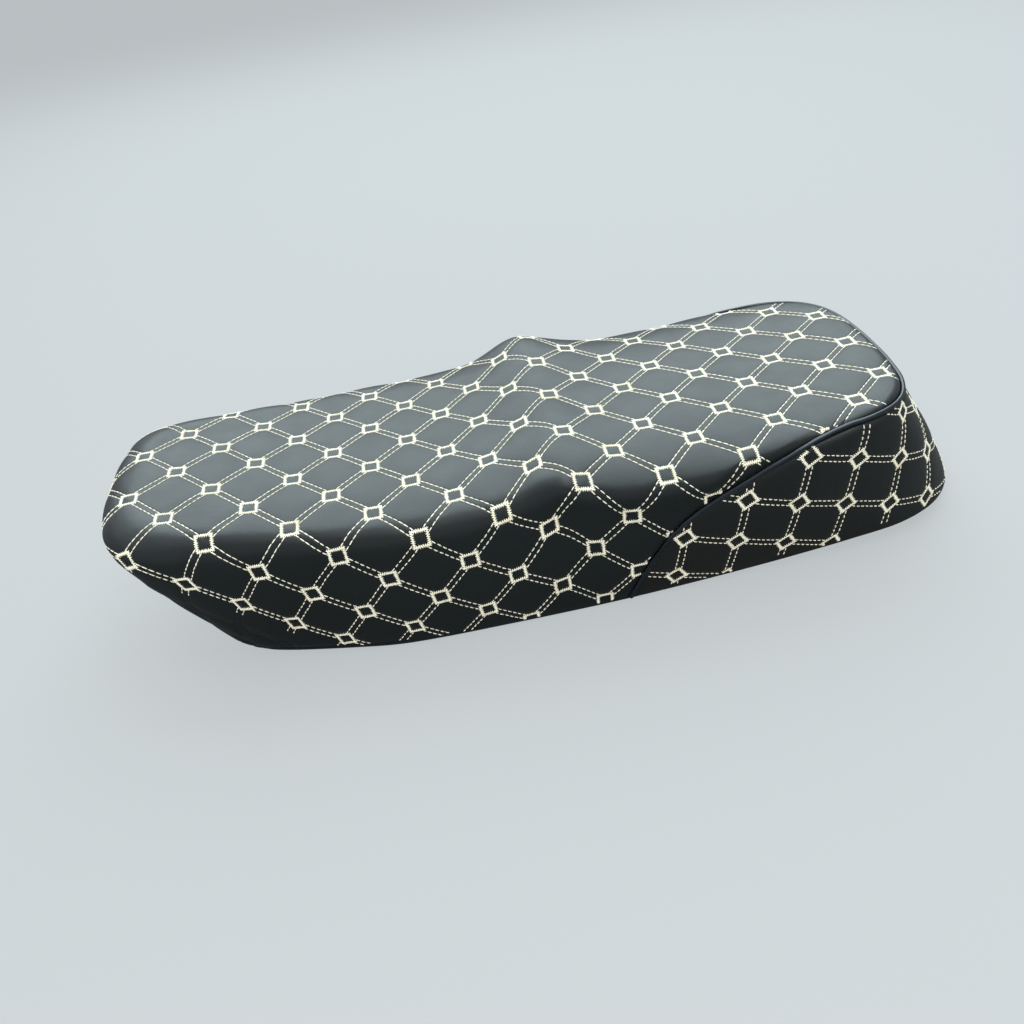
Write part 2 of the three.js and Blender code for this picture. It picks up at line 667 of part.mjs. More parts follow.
// ---------------------------------------------------------------- rear brackets
// A flat foot under the floor, a tab that hangs down from its rear edge, and a flange
// that runs back from the tab's lower end, with a slot for the frame bolt.
const FOOT = { length: 30, width: 52, y: 82 };
const TAB = { width: 28, height: 36, y: 78 };
const FLANGE_LENGTH = 26;
const FRAME_SLOT = { x: -204, radius: 4.4, travel: 6 };

function leftBracket() {
  const footRear = BRACKET_X - FOOT.length / 2;
  const flangeX = footRear + PLATE_T - FLANGE_LENGTH / 2;
  const flangeZ = PLATE_TOP - TAB.height + PLATE_T / 2;
  const { x: slotX, radius, travel } = FRAME_SLOT;
  const bracket = join([
    boxAt(FOOT.length, FOOT.width, PLATE_T, BRACKET_X, FOOT.y, PLATE_TOP - PLATE_T / 2),
    boxAt(PLATE_T, TAB.width, TAB.height,
      footRear + PLATE_T / 2, TAB.y, PLATE_TOP - TAB.height / 2),
    boxAt(FLANGE_LENGTH, TAB.width, PLATE_T, flangeX, TAB.y, flangeZ),
  ]);
  const cuts = [
    rod(radius, THROUGH, slotX, TAB.y - travel / 2, flangeZ, 12),
    rod(radius, THROUGH, slotX, TAB.y + travel / 2, flangeZ, 12),
    boxAt(2 * radius, travel, THROUGH, slotX, TAB.y, flangeZ),
  ];
  for (const { x, y } of BRACKET_BOLTS) {
    if (y > 0) cuts.push(rod(HOLE_R, THROUGH, x, y, PLATE_TOP, 12));
  }
  return bracket.subtract(join(cuts));
}

function addBrackets() {
  const left = leftBracket();
  addMesh('rear_bracket_left', fromSolid(left), MATERIALS.steel);
  addMesh('rear_bracket_right', fromSolid(left.mirror([0, 1, 0])), MATERIALS.steel);
}

// ---------------------------------------------------------------- bolts, washers and nuts
const FASTENER_GAP = 0.3;     // clearance between stacked parts
const HEX_FLATS = 10;         // width across flats of heads and nuts
const BORE_R = BOLT_R + 0.35; // washers and nuts
const WASHER_R = 6.2;
const WASHER_T = 1.5;
const HEAD_H = 4;
const NUT_H = 5;
const WASHER_TOP = PLATE_TOP - PLATE_T - FASTENER_GAP;
const HEAD_TOP = WASHER_TOP - WASHER_T - FASTENER_GAP;
const NUT_LOW = PAN_FLOOR_TOP + FASTENER_GAP;
const BOLT_TIP = PAN_FLOOR_TOP + 8.6;

const hexagon = (height, z) =>
  solid(extrude(polygon(HEX_FLATS / Math.sqrt(3), 6), height), moved(0, 0, z));

function washerSolid() {
  return rod(WASHER_R, WASHER_T, 0, 0, WASHER_TOP - WASHER_T / 2, 14)
    .subtract(rod(BORE_R, THROUGH, 0, 0, WASHER_TOP, 10));
}

// The hexagon head is under the washer; the shank starts 1 mm inside it.
function boltSolid() {
  const shankLow = HEAD_TOP - 1;
  return hexagon(HEAD_H, HEAD_TOP - HEAD_H)
    .add(rod(BOLT_R, BOLT_TIP - shankLow, 0, 0, (BOLT_TIP + shankLow) / 2, 10));
}

function nutSolid() {
  return hexagon(NUT_H, NUT_LOW).subtract(rod(BORE_R, THROUGH, 0, 0, NUT_LOW, 10));
}

function addFasteners() {
  const parts = [['washer', washerSolid()], ['bolt', boltSolid()], ['nut', nutSolid()]];
  for (const { name, x, y } of BOLTS) {
    for (const [part, manifold] of parts) {
      addMesh(`${name}_${part}`, fromSolid(manifold), MATERIALS.zinc, x, y);
    }
  }
}

// ---------------------------------------------------------------- the seat
addCover();
addPipingCord();
addFoam();
addPan();
addBuffers();
addHook();
addBrackets();
addFasteners();

export default group;
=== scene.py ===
"""Motorcycle seat: quilted cover, stitching, piping, foam and staples, built round its CAD frame.

The nose points along +X and the tail along -X, +Y is the left side and +Z is up. Lengths are in
millimetres until a mesh is made. The stage, the lights and the camera are in metres.
"""

import bmesh
import bpy
import numpy as np
from mathutils import Matrix, Vector
from mathutils.bvhtree import BVHTree
from mathutils.kdtree import KDTree


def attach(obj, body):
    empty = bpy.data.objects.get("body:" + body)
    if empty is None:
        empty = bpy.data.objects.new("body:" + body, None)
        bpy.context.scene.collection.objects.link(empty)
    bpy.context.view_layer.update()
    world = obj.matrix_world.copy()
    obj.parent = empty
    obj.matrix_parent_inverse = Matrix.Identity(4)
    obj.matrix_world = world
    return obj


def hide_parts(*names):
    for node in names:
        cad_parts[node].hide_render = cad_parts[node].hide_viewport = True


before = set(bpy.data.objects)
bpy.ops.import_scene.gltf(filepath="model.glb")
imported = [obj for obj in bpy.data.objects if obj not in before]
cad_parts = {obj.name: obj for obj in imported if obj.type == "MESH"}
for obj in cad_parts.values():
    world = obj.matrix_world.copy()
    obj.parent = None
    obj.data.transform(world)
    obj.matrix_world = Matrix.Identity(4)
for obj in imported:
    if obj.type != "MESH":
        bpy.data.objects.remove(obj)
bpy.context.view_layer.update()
rng = np.random.default_rng(7)
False                           # a quick build is the same as a full one

# ------------------------------------------------------------------ sizes (mm)
X_OFFSET = 12.1                      # from the x of the tables below to the x of the CAD frame
RIDGE_X, RIDGE_HEIGHT = -18.0, 12.0  # the ridge across the seat
FLAT_SHARE = 0.8                     # share of the way to the rim that is the flatter top
STATION_STEP = 2.0                   # spacing of the stations along the shoulder
COLUMN_POINTS = 260                  # points of a fine column, spine to bottom edge
CREASE_SIGMA = 5.0                   # rounding between shoulder and wall
TOP_ROWS, SKIRT_ROWS, INNER_ROWS = 124, 64, 30
COVER_INNER = 1.7                    # thickness of the cover where it isn't puffed
SEAM_PINCH = 1.9                     # how far its inner face sinks beside the seam
TOP_CELL, SKIRT_CELL = 44.3, 43.8    # side of a quilting cell
ROW_HALF = 2.6                       # half the space between the two rows of a stitched line
SQUARE_HALF = 6.1                    # half the side of a stitched square, to mid border
STITCH_PITCH, STITCH_SHARE = 4.8, 0.80   # pitch, and the share of it that shows as thread
THREAD_WIDTH = 0.96
THREAD_SIDES = 6
CORD_RADIUS, CORD_STEP = 1.90, 1.3
STAPLE_RISE, STAPLE_PITCH, STAPLE_HALF = 12.0, 23.0, 5.0

# Sections of the left half, from the middle of the nose round to the middle of the tail: spine x,
# rim x, rim y, depth of the rim under the top, exponent of the shoulder, bottom x, bottom y,
# bottom z, bow of the wall.
SECTIONS = np.array([
    [275, 349.5, 0.0, 19, 3.0, 272.0, 0.0, 7.0, 0.00],
    [272, 347.8, 40.0, 19, 3.0, 271.0, 37.0, 7.0, 0.00],
    [268, 341.5, 73.0, 19, 3.0, 267.5, 64.0, 7.0, 0.03],
    [262, 327.0, 94.0, 21, 3.2, 258.0, 80.5, 6.0, 0.06],
    [252, 302.0, 103.5, 27, 3.8, 244.5, 88.5, 5.0, -0.10],
    [237, 266.0, 107.5, 35, 4.6, 225.0, 94.0, 4.0, -0.40],
    [212, 225.0, 111.5, 40, 5.0, 203.0, 98.5, 3.0, -0.64],
    [180, 184.0, 117.0, 42, 5.2, 174.0, 103.5, 1.5, -0.72],
    [140, 141.0, 122.5, 43, 5.3, 138.0, 109.0, 0.1, -0.76],
    [100, 100.0, 125.5, 45, 5.0, 100.0, 111.5, 0.1, -0.76],
    [50, 50.0, 127.5, 45, 5.2, 50.0, 112.0, 0.1, -0.76],
    [0, 0.0, 128.0, 45, 5.2, 0.0, 112.0, 0.1, -0.76],
    [-50, -50.0, 128.0, 44, 5.2, -50.0, 111.5, 0.5, -0.76],
    [-100, -100.0, 128.0, 42, 5.2, -101.0, 110.5, 2.0, -0.76],
    [-150, -150.0, 127.5, 37, 5.5, -153.0, 109.0, 4.0, -0.72],
    [-198, -197.0, 126.0, 27, 6.0, -205.0, 107.0, 6.5, -0.60],
    [-226, -234.0, 120.5, 18, 6.5, -254.0, 104.5, 9.5, -0.36],
    [-238, -267.0, 111.5, 13, 7.0, -301.0, 99.0, 11.5, -0.08],
    [-246, -291.0, 95.5, 12, 7.0, -337.0, 83.5, 12.5, 0.16],
    [-251, -304.5, 71.0, 12, 7.0, -361.0, 58.5, 12.5, 0.28],
    [-255, -310.0, 38.0, 12, 7.0, -372.0, 30.0, 12.5, 0.28],
    [-258, -311.5, 0.0, 12, 7.0, -375.0, 0.0, 12.5, 0.28]])
LAST = len(SECTIONS) - 1
# x, height of the top along the middle, without the ridge
TOP_LINE = np.array([
    [-320, 140.0], [-288, 139.3], [-256, 138.6], [-222, 137.6], [-190, 137.5], [-156.5, 137.8],
    [-123.5, 137.8], [-90, 137.5], [-59, 136.8], [-27.6, 136.0], [2.5, 135.0], [33.6, 133.5],
    [64, 131.8], [97, 131.2], [128.5, 131.6], [160, 132.8], [193, 134.8], [225, 138.0],
    [257, 141.5], [290, 145.0], [325, 149.0], [345, 153.0], [365, 156.5]])
# x, drop of the top at 105 mm from the middle
CROWN = np.array([
    [-320, 0.5], [-260, 0.7], [-200, 1.6], [-120, 2.0], [-60, 1.5], [0, 1.0], [60, 1.0],
    [130, 1.0], [190, 1.0], [255, 1.5], [360, 2.0]])
# x, height of the seam between top and skirt
SEAM = np.array([
    [-400, 133.0], [-345, 133.2], [-300, 133.5], [-265, 133.7], [-243, 133.2], [-228, 131.6],
    [-212, 129.0], [-197.6, 125.4], [-174, 117.4], [-151.6, 107.6], [-135, 99.8],
    [-119.3, 91.2], [-106.6, 82.0], [-93.9, 69.0], [-82, 50.5], [-72, 31.0], [-64, 12.0],
    [-58, -6.0]])
# Profile of the hem: depth inside the outer surface, height over the bottom edge
HEM_DEPTH = 9.4
HEM = np.array([
    (0.05, 3.4), (0.45, 1.7), (1.3, 0.6), (2.8, 0.05), (4.7, 0.0), (6.6, 0.05), (8.2, 0.6),
    (9.1, 1.8), (HEM_DEPTH, 4.0), (HEM_DEPTH, 8.0), (HEM_DEPTH, 12.0), (HEM_DEPTH, 16.3),
    (9.0, 17.0), (7.9, 17.0), (7.5, 16.3), (7.5, 10.0), (7.4, 4.6), (6.8, 3.2), (4.7, 2.5),
    (2.7, 2.9)])
FOLD = np.array([-0.298, 0.751, 0.588])  # square to the wall where the raked nose turns under
MIRROR = np.array([1, -1, 1])            # takes the left half to the right


# ------------------------------------------------------------------ small tools
def unit(vectors):
    return vectors / np.maximum(np.linalg.norm(vectors, axis=-1, keepdims=True), 1e-9)


def run_length(points):
    """Distance along a polyline, or along each one of a stack, at its points."""
    steps = np.linalg.norm(np.diff(points, axis=-2), axis=-1)
    return np.concatenate([np.zeros_like(steps[..., :1]), np.cumsum(steps, axis=-1)], -1)


def interp_rows(at, known, rows):
    """Interpolates every column of rows."""
    return np.stack([np.interp(at, known, rows[:, c]) for c in range(rows.shape[1])], -1)


def blur(values, reach, sigma, step=1.0):
    """Gaussian along the first axis; reach samples are lost at both ends."""
    weights = np.exp(-0.5 * (np.arange(-reach, reach + 1) * step / sigma) ** 2)
    return np.apply_along_axis(np.convolve, 0, values, weights / weights.sum(), "valid")


def ramp01(value):
    return np.clip(value, 0, 1)


def ease(value):
    value = ramp01(value)
    return value * value * (3 - 2 * value)


def smooth_table(points, x):
    """Cubic through (x, value) points, its slopes averaged from the neighbouring spans."""
    known, values = points[:, 0], points[:, 1]
    x = np.clip(np.asarray(x, float), known[0], known[-1])
    i = np.clip(np.searchsorted(known, x, side="right") - 1, 0, len(known) - 2)
    span = np.diff(known)
    rise = np.diff(values) / span
    slope = np.empty(len(known))
    slope[0], slope[-1] = rise[0], rise[-1]
    slope[1:-1] = (rise[:-1] * span[1:] + rise[1:] * span[:-1]) / (span[:-1] + span[1:])
    part = (x - known[i]) / span[i]
    return ((2 * part**3 - 3 * part**2 + 1) * values[i]
            + (part**3 - 2 * part**2 + part) * span[i] * slope[i]
            + (-2 * part**3 + 3 * part**2) * values[i + 1]
            + (part**3 - part**2) * span[i] * slope[i + 1])


# ------------------------------------------------------------------ the seat's outer surface
def top_height(x, y, ridge_height):
    ahead = x - RIDGE_X
    ridge = ridge_height * np.exp(-(np.abs(ahead) / np.where(ahead > 0, 34.0, 42.0)) ** 1.6)
    return (smooth_table(TOP_LINE, x) + ridge * (1 + 0.35 * (y / 125.0) ** 2)
            - smooth_table(CROWN, x) * (y / 105.0) ** 2)


# the sections with a mirrored neighbour beyond both ends
PADDED = np.vstack([SECTIONS[1], SECTIONS, SECTIONS[-2]])
for _end in (0, -1):
    PADDED[_end, [2, 6]] *= -1


def section_row(station):
    """Section values at fractional stations (Catmull-Rom)."""
    station = np.asarray(station, float)
    i = np.clip(np.floor(station).astype(int), 0, LAST - 1)
    part = (station - i)[..., None]
    before, start, end, after = (PADDED[i + k] for k in range(4))
    return 0.5 * (2 * start + (end - before) * part
                  + (2 * before - 5 * start + 4 * end - after) * part**2
                  + (3 * start - before - 3 * end + after) * part**3)


def surface(station, across, ridge_height=RIDGE_HEIGHT):
    """Outer surface of the left half.

    station runs from 0 at the nose to LAST at the tail. across is 0 on the spine, 1 where the
    shoulder starts, 2 on the rim and 3 on the bottom edge.
    """
    station, across = np.broadcast_arrays(np.asarray(station, float), np.asarray(across, float))
    (spine_x, rim_x, rim_y, depth, power, low_x, low_y, low_z,
     bow) = np.moveaxis(section_row(station), -1, 0)
    top_reach = FLAT_SHARE * ramp01(across)
    top_rise = (1 - top_reach**power) ** (1 / power)
    start = np.arctan2(FLAT_SHARE, (1 - FLAT_SHARE**power) ** (1 / power))
    angle = start + (np.pi / 2 - start) * (np.clip(across, 1, 2) - 1)
    cosine = np.maximum(0, np.cos(angle))
    radius = (np.sin(angle) ** power + cosine**power) ** (-1 / power)
    reach = np.where(across <= 1, top_reach, radius * np.sin(angle))
    rise = np.where(across <= 1, top_rise, np.where(across >= 2, 0.0, radius * cosine))
    x, y = spine_x + (rim_x - spine_x) * reach, rim_y * reach
    z = top_height(x, y, ridge_height) - depth * (1 - rise)
    down = ramp01(across - 2)
    rim_z = top_height(rim_x, rim_y, ridge_height) - depth
    bowed = down + bow * down * (1 - down)
    wall = across > 2
    x = np.where(wall, rim_x + (low_x - rim_x) * bowed, x)
    y = np.where(wall, rim_y + (low_y - rim_y) * bowed, y)
    z = np.where(wall, rim_z + (low_z - rim_z) * down, z)
    return np.stack([x + X_OFFSET, y, z], -1)


# ------------------------------------------------------------------ fine columns of the surface
def even_stations():
    """Stations of the left half, evenly spaced along the shoulder."""
    station = np.linspace(0, LAST, 3001)
    length = run_length(surface(station, 1.75))
    count = int(round(length[-1] / STATION_STEP))
    return np.interp(np.linspace(0, length[-1], count + 1), length, station)


def soften(points, length):
    """Evenly spaced column with a rounded crease between shoulder and wall, and its arc."""
    arc = np.linspace(0, length[-1], COLUMN_POINTS)
    step = length[-1] / (COLUMN_POINTS - 1)
    even = interp_rows(arc, length, points)
    reach = int(np.ceil(3 * CREASE_SIGMA / step))
    lead = even[reach:0:-1] * MIRROR
    lead[:, 0] = 2 * even[0, 0] - even[reach:0:-1, 0]
    tail = 2 * even[-1] - even[-reach - 1:-1][::-1]
    smooth = blur(np.vstack([lead, even, tail]), reach, CREASE_SIGMA, step)
    smooth[:, 1] = np.maximum(smooth[:, 1], 0) if even[-1, 1] > 1 else 0
    blend = ramp01((arc - 3) / 14)[:, None]      # the spine stays as it is
    return even * (1 - blend) + smooth * blend, arc


def neighbour_step(columns):
    """From the station before to the one after, with mirror images beyond both ends."""
    ring = np.concatenate([columns[1:2] * MIRROR, columns, columns[-2:-1] * MIRROR])
    return ring[2:] - ring[:-2]


def outward_normals():
    normals = unit(np.cross(np.gradient(FINE, axis=1), neighbour_step(FINE)))
    if normals[COUNT // 2, 100, 2] < 0:
        normals = -normals
    normals[:, :2] = normals[:, 2:3]
    normals[:, :2, 1] = 0
    return unit(normals)


STATIONS = even_stations()
COUNT = len(STATIONS)
ACROSS = np.concatenate([
    np.linspace(0, 1, 140), np.linspace(1, 2, 90)[1:], np.linspace(2, 3, 130)[1:]])
_columns = []
for _raw in surface(STATIONS[:, None], ACROSS[None]):
    _length = run_length(_raw)
    _points, _arc = soften(_raw, _length)
    _columns.append((_points, _arc, np.interp(_arc, _length, ACROSS)))
# points of the columns, arc length along them and the value of across along them
FINE, ARC, FINE_ACROSS = (np.array(part) for part in zip(*_columns))
FINE[[0, -1], :, 1] = 0
SPINE_X, RIM_X, RIM_Y, _, _, LOW_X, LOW_Y, BOTTOM, _ = section_row(STATIONS).T
NORMALS = outward_normals()


def at_arc(i, arc):
    """Point of column i at an arc length."""
    return interp_rows(arc, ARC[i], FINE[i])


def normal_at(i, arc):
    return unit(interp_rows(arc, ARC[i], NORMALS[i]))


# ------------------------------------------------------------------ flat cloth coordinates
# The top panel runs straight out from the spine, then down the wall square to the rim. It is
# measured on the seat without its cross ridge, because the cloth stretches over that.
PLAIN = surface(STATIONS[:, None], FINE_ACROSS, 0.0)
PLAIN[[0, -1], :, 1] = 0
PLAIN_ARC = run_length(PLAIN)


def smooth_along(values, sigma, flip):
    """Gaussian from station to station, mirrored at both ends of the half."""
    reach = 3 * sigma
    ends = values[reach:0:-1] * flip, values[-2:-reach - 2:-1] * flip
    return blur(np.concatenate([ends[0], values, ends[1]]), reach, sigma)


RIM_ARC = smooth_along(
    np.array([np.interp(2.0, FINE_ACROSS[i], PLAIN_ARC[i]) for i in range(COUNT)]), 6, 1)


def rim_tangent(rim):
    """Level tangent of the rim, square to the middle plane at both ends."""
    tangent = np.gradient(smooth_along(rim, 8, MIRROR[:rim.shape[1]]), axis=0)
    tangent[:, 2:] = 0
    tangent[[0, -1]] = 0
    tangent[0, 1], tangent[-1, 1] = 1, -1
    return unit(tangent)


def flat_top():
    angle = np.arctan2(RIM_Y, RIM_X - SPINE_X)
    outward = np.stack([np.cos(angle), np.sin(angle)], 1)
    spine = np.stack([SPINE_X + X_OFFSET, np.zeros(COUNT)], 1)
    rim = surface(STATIONS, 2.0, 0.0)
    flat_rim = spine + RIM_ARC[:, None] * outward
    tangent = rim_tangent(flat_rim)
    square = np.stack([tangent[:, 1], -tangent[:, 0]], 1)
    square *= np.sign((square * outward).sum(1, keepdims=True))
    offset = PLAIN - rim[:, None]
    along = (offset * rim_tangent(rim)[:, None]).sum(-1)
    down = np.sqrt(np.maximum(0, (offset**2).sum(-1) - along**2))
    on_top = spine[:, None] + PLAIN_ARC[..., None] * outward[:, None]
    on_wall = (flat_rim[:, None] + along[..., None] * tangent[:, None]
               + down[..., None] * square[:, None])
    return np.where((FINE_ACROSS > 2)[..., None], on_wall, on_top)


def flat_skirt():
    """Along the wall from the middle of the tail, and down from z = 70."""
    middle = np.stack([interp_rows(2.5, FINE_ACROSS[i], FINE[i]) for i in range(COUNT)])
    tangent = unit(neighbour_step(middle) * [1, 1, 0])
    length = run_length(middle[:, :2])
    along = ((FINE - middle[:, None]) * tangent[:, None]).sum(-1)
    lean = np.where(STATIONS > 17, np.hypot(LOW_X - RIM_X, LOW_Y - RIM_Y), 0)
    stretch = np.clip(np.sqrt(1 + (lean / (118.0 - BOTTOM)) ** 2), 1, 1.2)
    stretch = np.convolve(np.pad(stretch, 12, "edge"), np.ones(25) / 25, "valid")
    across = (length[-1] - length)[:, None] - along
    return np.stack([across, (70 - FINE[..., 2]) * stretch[:, None]], -1)


FLAT_TOP, FLAT_SKIRT = flat_top(), flat_skirt()

# ------------------------------------------------------------------ the quilting lattices
# How far the top cloth has crept from an even lattice over the foam (mm): control values of a
# cubic spline, rows along the seat from the nose, columns across it from the right.
DRIFT_X = np.array([
    [-0.0, 0.0, 0.9, 5.5, 2.2, -1.2, -0.0, 0.0],
    [-17.8, -12.1, -5.8, 0.9, 5.5, 8.8, 12.0, 14.8],
    [-12.1, -10.0, -7.2, -2.2, 2.3, 4.7, 6.3, 6.4],
    [-6.6, -6.4, -6.2, -3.8, 0.5, 1.4, 0.1, -2.2],
    [-1.7, -1.1, -0.6, 0.4, 2.9, 1.1, -5.0, -9.1],
    [2.3, 2.8, 3.2, 2.9, 3.7, 2.0, -5.1, -11.4],
    [5.3, 3.9, 1.8, -1.2, -1.7, -1.3, -5.1, -10.3],
    [7.0, 3.3, -0.8, -4.6, -6.2, -5.8, -6.6, -8.3],
    [8.1, 2.2, -3.2, -7.3, -9.6, -9.7, -8.4, -6.6],
])
DRIFT_Y = np.array([
    [-0.0, -0.0, -1.9, -3.3, 8.7, 4.2, 0.1, 0.0],
    [-8.2, -9.0, -8.6, -4.7, 3.9, 9.2, 9.4, 7.9],
    [1.4, -0.8, -2.8, -3.6, 2.9, 5.0, 2.7, 0.7],
    [10.2, 6.4, 2.3, -1.9, 2.0, 1.7, -2.2, -5.1],
    [17.1, 11.5, 4.5, -2.2, 0.9, 1.7, -3.4, -8.6],
    [21.4, 15.4, 8.1, -0.5, -0.9, -0.7, -5.2, -10.0],
    [23.1, 17.0, 9.8, 1.0, -2.6, -3.6, -6.7, -10.4],
    [22.8, 16.1, 8.8, 1.5, -3.4, -6.0, -8.3, -10.8],
    [21.6, 14.5, 7.7, 1.5, -3.7, -7.5, -9.8, -11.5],
])
DRIFT = np.stack([DRIFT_X, DRIFT_Y], -1)
# Top: node (0, 0), then the steps for a + b (towards the tail) and for b - a (to the left).
TOP_ORIGIN = np.array([333.5, 35.2])
TOP_BACK, TOP_LEFT = np.array([-32.0, -0.3]), np.array([-0.8, 30.7])
# Skirt: node (1, 5), then the steps of one column and one row. The lattice is even.
SKIRT_ORIGIN = np.array([175.7, 12.8])
SKIRT_COLUMN, SKIRT_ROW = np.array([43.6, -17.0]), np.array([6.5, 43.5])


def spline_weights(at, count):
    at = np.clip(at, 0, count - 3 - 1e-9)
    i = np.floor(at).astype(int)
    part = at - i
    return i, np.stack([(1 - part) ** 3, 3 * part**3 - 6 * part**2 + 4,
                        -3 * part**3 + 3 * part**2 + 3 * part + 1, part**3], -1) / 6


def drift(steps):
    """Creep of the cloth at (a + b, b - a)."""
    i, row_weights = spline_weights((steps[..., 0] + 2) / 4, DRIFT.shape[0])
    j, column_weights = spline_weights((steps[..., 1] + 8) / 3, DRIFT.shape[1])
    total = 0
    for p in range(4):
        for q in range(4):
            weight = row_weights[..., p, None] * column_weights[..., q, None]
            total = total + weight * DRIFT[i + p, j + q]
    return total


def top_node(a, b):
    """Flat point of lattice position (a, b); both indices rise towards the tail."""
    a, b = np.asarray(a, float), np.asarray(b, float)
    steps = np.stack([a + b, b - a], -1)
    return TOP_ORIGIN + steps[..., :1] * TOP_BACK + steps[..., 1:] * TOP_LEFT + drift(steps)


def top_lattice(points):
    """(a, b) of flat points: top_node turned inside out by iteration."""
    inverse = np.linalg.inv(np.stack([TOP_BACK, TOP_LEFT]))
    steps = (points - TOP_ORIGIN) @ inverse
    for _ in range(6):
        steps = (points - drift(steps) - TOP_ORIGIN) @ inverse
    back, left = steps[..., 0], steps[..., 1]
    return np.stack([(back - left) / 2, (back + left) / 2], -1)


def skirt_node(row, column):
    row, column = np.asarray(row, float)[..., None], np.asarray(column, float)[..., None]
    return SKIRT_ORIGIN + (column - 5) * SKIRT_COLUMN + (row - 1) * SKIRT_ROW


def skirt_lattice(points):
    steps = (points - SKIRT_ORIGIN) @ np.linalg.inv(np.stack([SKIRT_COLUMN, SKIRT_ROW]))
    return np.stack([steps[..., 1] + 1, steps[..., 0] + 5], -1)


# ------------------------------------------------------------------ where the seam runs
def seam_arc(i):
    """Arc length at which column i crosses the seam, or None in front of the seam."""
    over = FINE[i, :, 2] - np.interp(FINE[i, :, 0], SEAM[:, 0] + X_OFFSET, SEAM[:, 1])
    if over[-1] > 0 or FINE[i, 0, 0] > 150:
        return None
    k = int(np.argmax(over < 0))
    return ARC[i, k - 1] + (ARC[i, k] - ARC[i, k - 1]) * over[k - 1] / (over[k - 1] - over[k])


SEAM_ARC = [seam_arc(i) for i in range(COUNT)]
FIRST = next(i for i in range(COUNT) if SEAM_ARC[i] is not None)


def evenly(points, step, extra):
    """Polyline and its companion values at an even step."""
    length = run_length(points)
    count = max(2, int(round(length[-1] / step)) + 1)
    at = np.linspace(0, length[-1], count)
    return interp_rows(at, length, points), interp_rows(at, length, extra)


def seam_line():
    """Points and normals of the seam, from the left flank round the tail to the right flank."""
    points = np.array([at_arc(i, SEAM_ARC[i]) for i in range(FIRST, COUNT)])
    normals = np.array([normal_at(i, SEAM_ARC[i]) for i in range(FIRST, COUNT)])
    points[-1, 1] = normals[-1, 1] = 0
    # the flank end runs on to the bottom edge
    low = points[0] + unit(points[0] - points[2]) * np.linspace(9, 1.5, 6)[:, None]
    points = np.vstack([low, points])
    normals = np.vstack([np.repeat(normals[:1], len(low), 0), normals])
    points, normals = (np.vstack([h, h[:-1][::-1] * MIRROR]) for h in (points, normals))
    points, normals = evenly(points, 1.0, normals)
    for _ in range(6):       # takes the small steps out of the line
        points[1:-1] = 0.25 * points[:-2] + 0.5 * points[1:-1] + 0.25 * points[2:]
    return points, normals


SEAM_POINTS, SEAM_NORMALS = seam_line()
seam_tree = KDTree(len(SEAM_POINTS))
for _i, _point in enumerate(SEAM_POINTS):
    seam_tree.insert(_point, _i)
seam_tree.balance()


def seam_distance(points):
    """Distance to the seam; 99 for everything well in front of it."""
    rows = points.reshape(-1, 3)
    out = np.full(len(rows), 99.0)
    for i in np.nonzero(rows[:, 0] < -30)[0]:
        out[i] = seam_tree.find(rows[i])[2]
    return out.reshape(points.shape[:-1])


# ------------------------------------------------------------------ how the padding fills the cover
def padding(i, arc, points, normals, side):
    """Extra height of column i: fuller shoulders and a firmer fold along the raked nose.

    Behind x = 5 the shoulder swell moves nearer to the rim, and grows on the left side only.
    """
    x = SPINE_X[i]
    back = ease((5 - x) / 42)
    inset, width = 38 - 18 * back, 14 - 0.5 * back
    height = 2.3 + ((4.8 if side > 0 else 0.0) - 2.3) * back
    fade = ramp01((x + 235) / 60) * ramp01((300 - x) / 50)
    shoulder = fade * height * np.exp(-((arc - (RIM_ARC[i] - inset)) / width) ** 2)
    at_nose = (ramp01((points[..., 0] - 150) / 70) * ramp01((points[..., 1] - 20) / 35)
               * ramp01((128 - points[..., 2]) / 25))
    above_hem = ramp01((points[..., 2] - BOTTOM[i]) / 16)
    fold = np.exp(-((normals @ FOLD) / 0.42) ** 2)
    return shoulder + 3.9 * at_nose * above_hem * fold


def swell_right(points):
    """Fuller shape of the right half, given as its mirror image.

    The end of the cross ridge, the shoulder in front of it and the nose corner stand out more.
    """
    x, y, z = points[..., 0] - X_OFFSET, points[..., 1], points[..., 2]
    ahead = x - RIDGE_X
    high = ramp01((z - 45) / 70)
    ridge = np.exp(-(np.abs(ahead) / np.where(ahead > 0, 38.0, 44.0)) ** 1.7)
    front = ramp01((x - 25) / 60) * ramp01((300 - x) / 70)
    corner = np.exp(-((x - 318) / 30) ** 2 - ((y - 84) / 26) ** 2) * ramp01((z - 25) / 60)
    out = points.copy()
    out[..., 2] += 6.0 * ridge * ramp01(np.abs(y) / 118) ** 2.5 * high
    out[..., 2] += ease((y - 60) / 50) * high * 2.6 * front
    out += corner[..., None] * np.array([0.6, 0.8, 1.6])
    return out


# ------------------------------------------------------------------ relief of the cover
def puffed(distance):
    """Rise from 0 to 1 away from the rows of a stitched line."""
    return 1 - np.exp(-np.maximum(0, distance - ROW_HALF) / 5.0)


def quilt_relief(lattice, cell):
    """Height of the quilted cloth over the base surface at lattice coordinates."""
    off = np.abs((lattice - np.round(lattice)) * cell)
    puff = 0.85 * puffed(off[..., 0]) * puffed(off[..., 1])
    band = 0.22 * np.exp(-(np.minimum(off[..., 0], off[..., 1]) / 1.6) ** 2)
    radius = np.hypot(off[..., 0], off[..., 1])
    pit = -0.55 * np.exp(-(radius / 8.5) ** 2) + 0.35 * np.exp(-(radius / 3.6) ** 2)
    return puff + band + pit


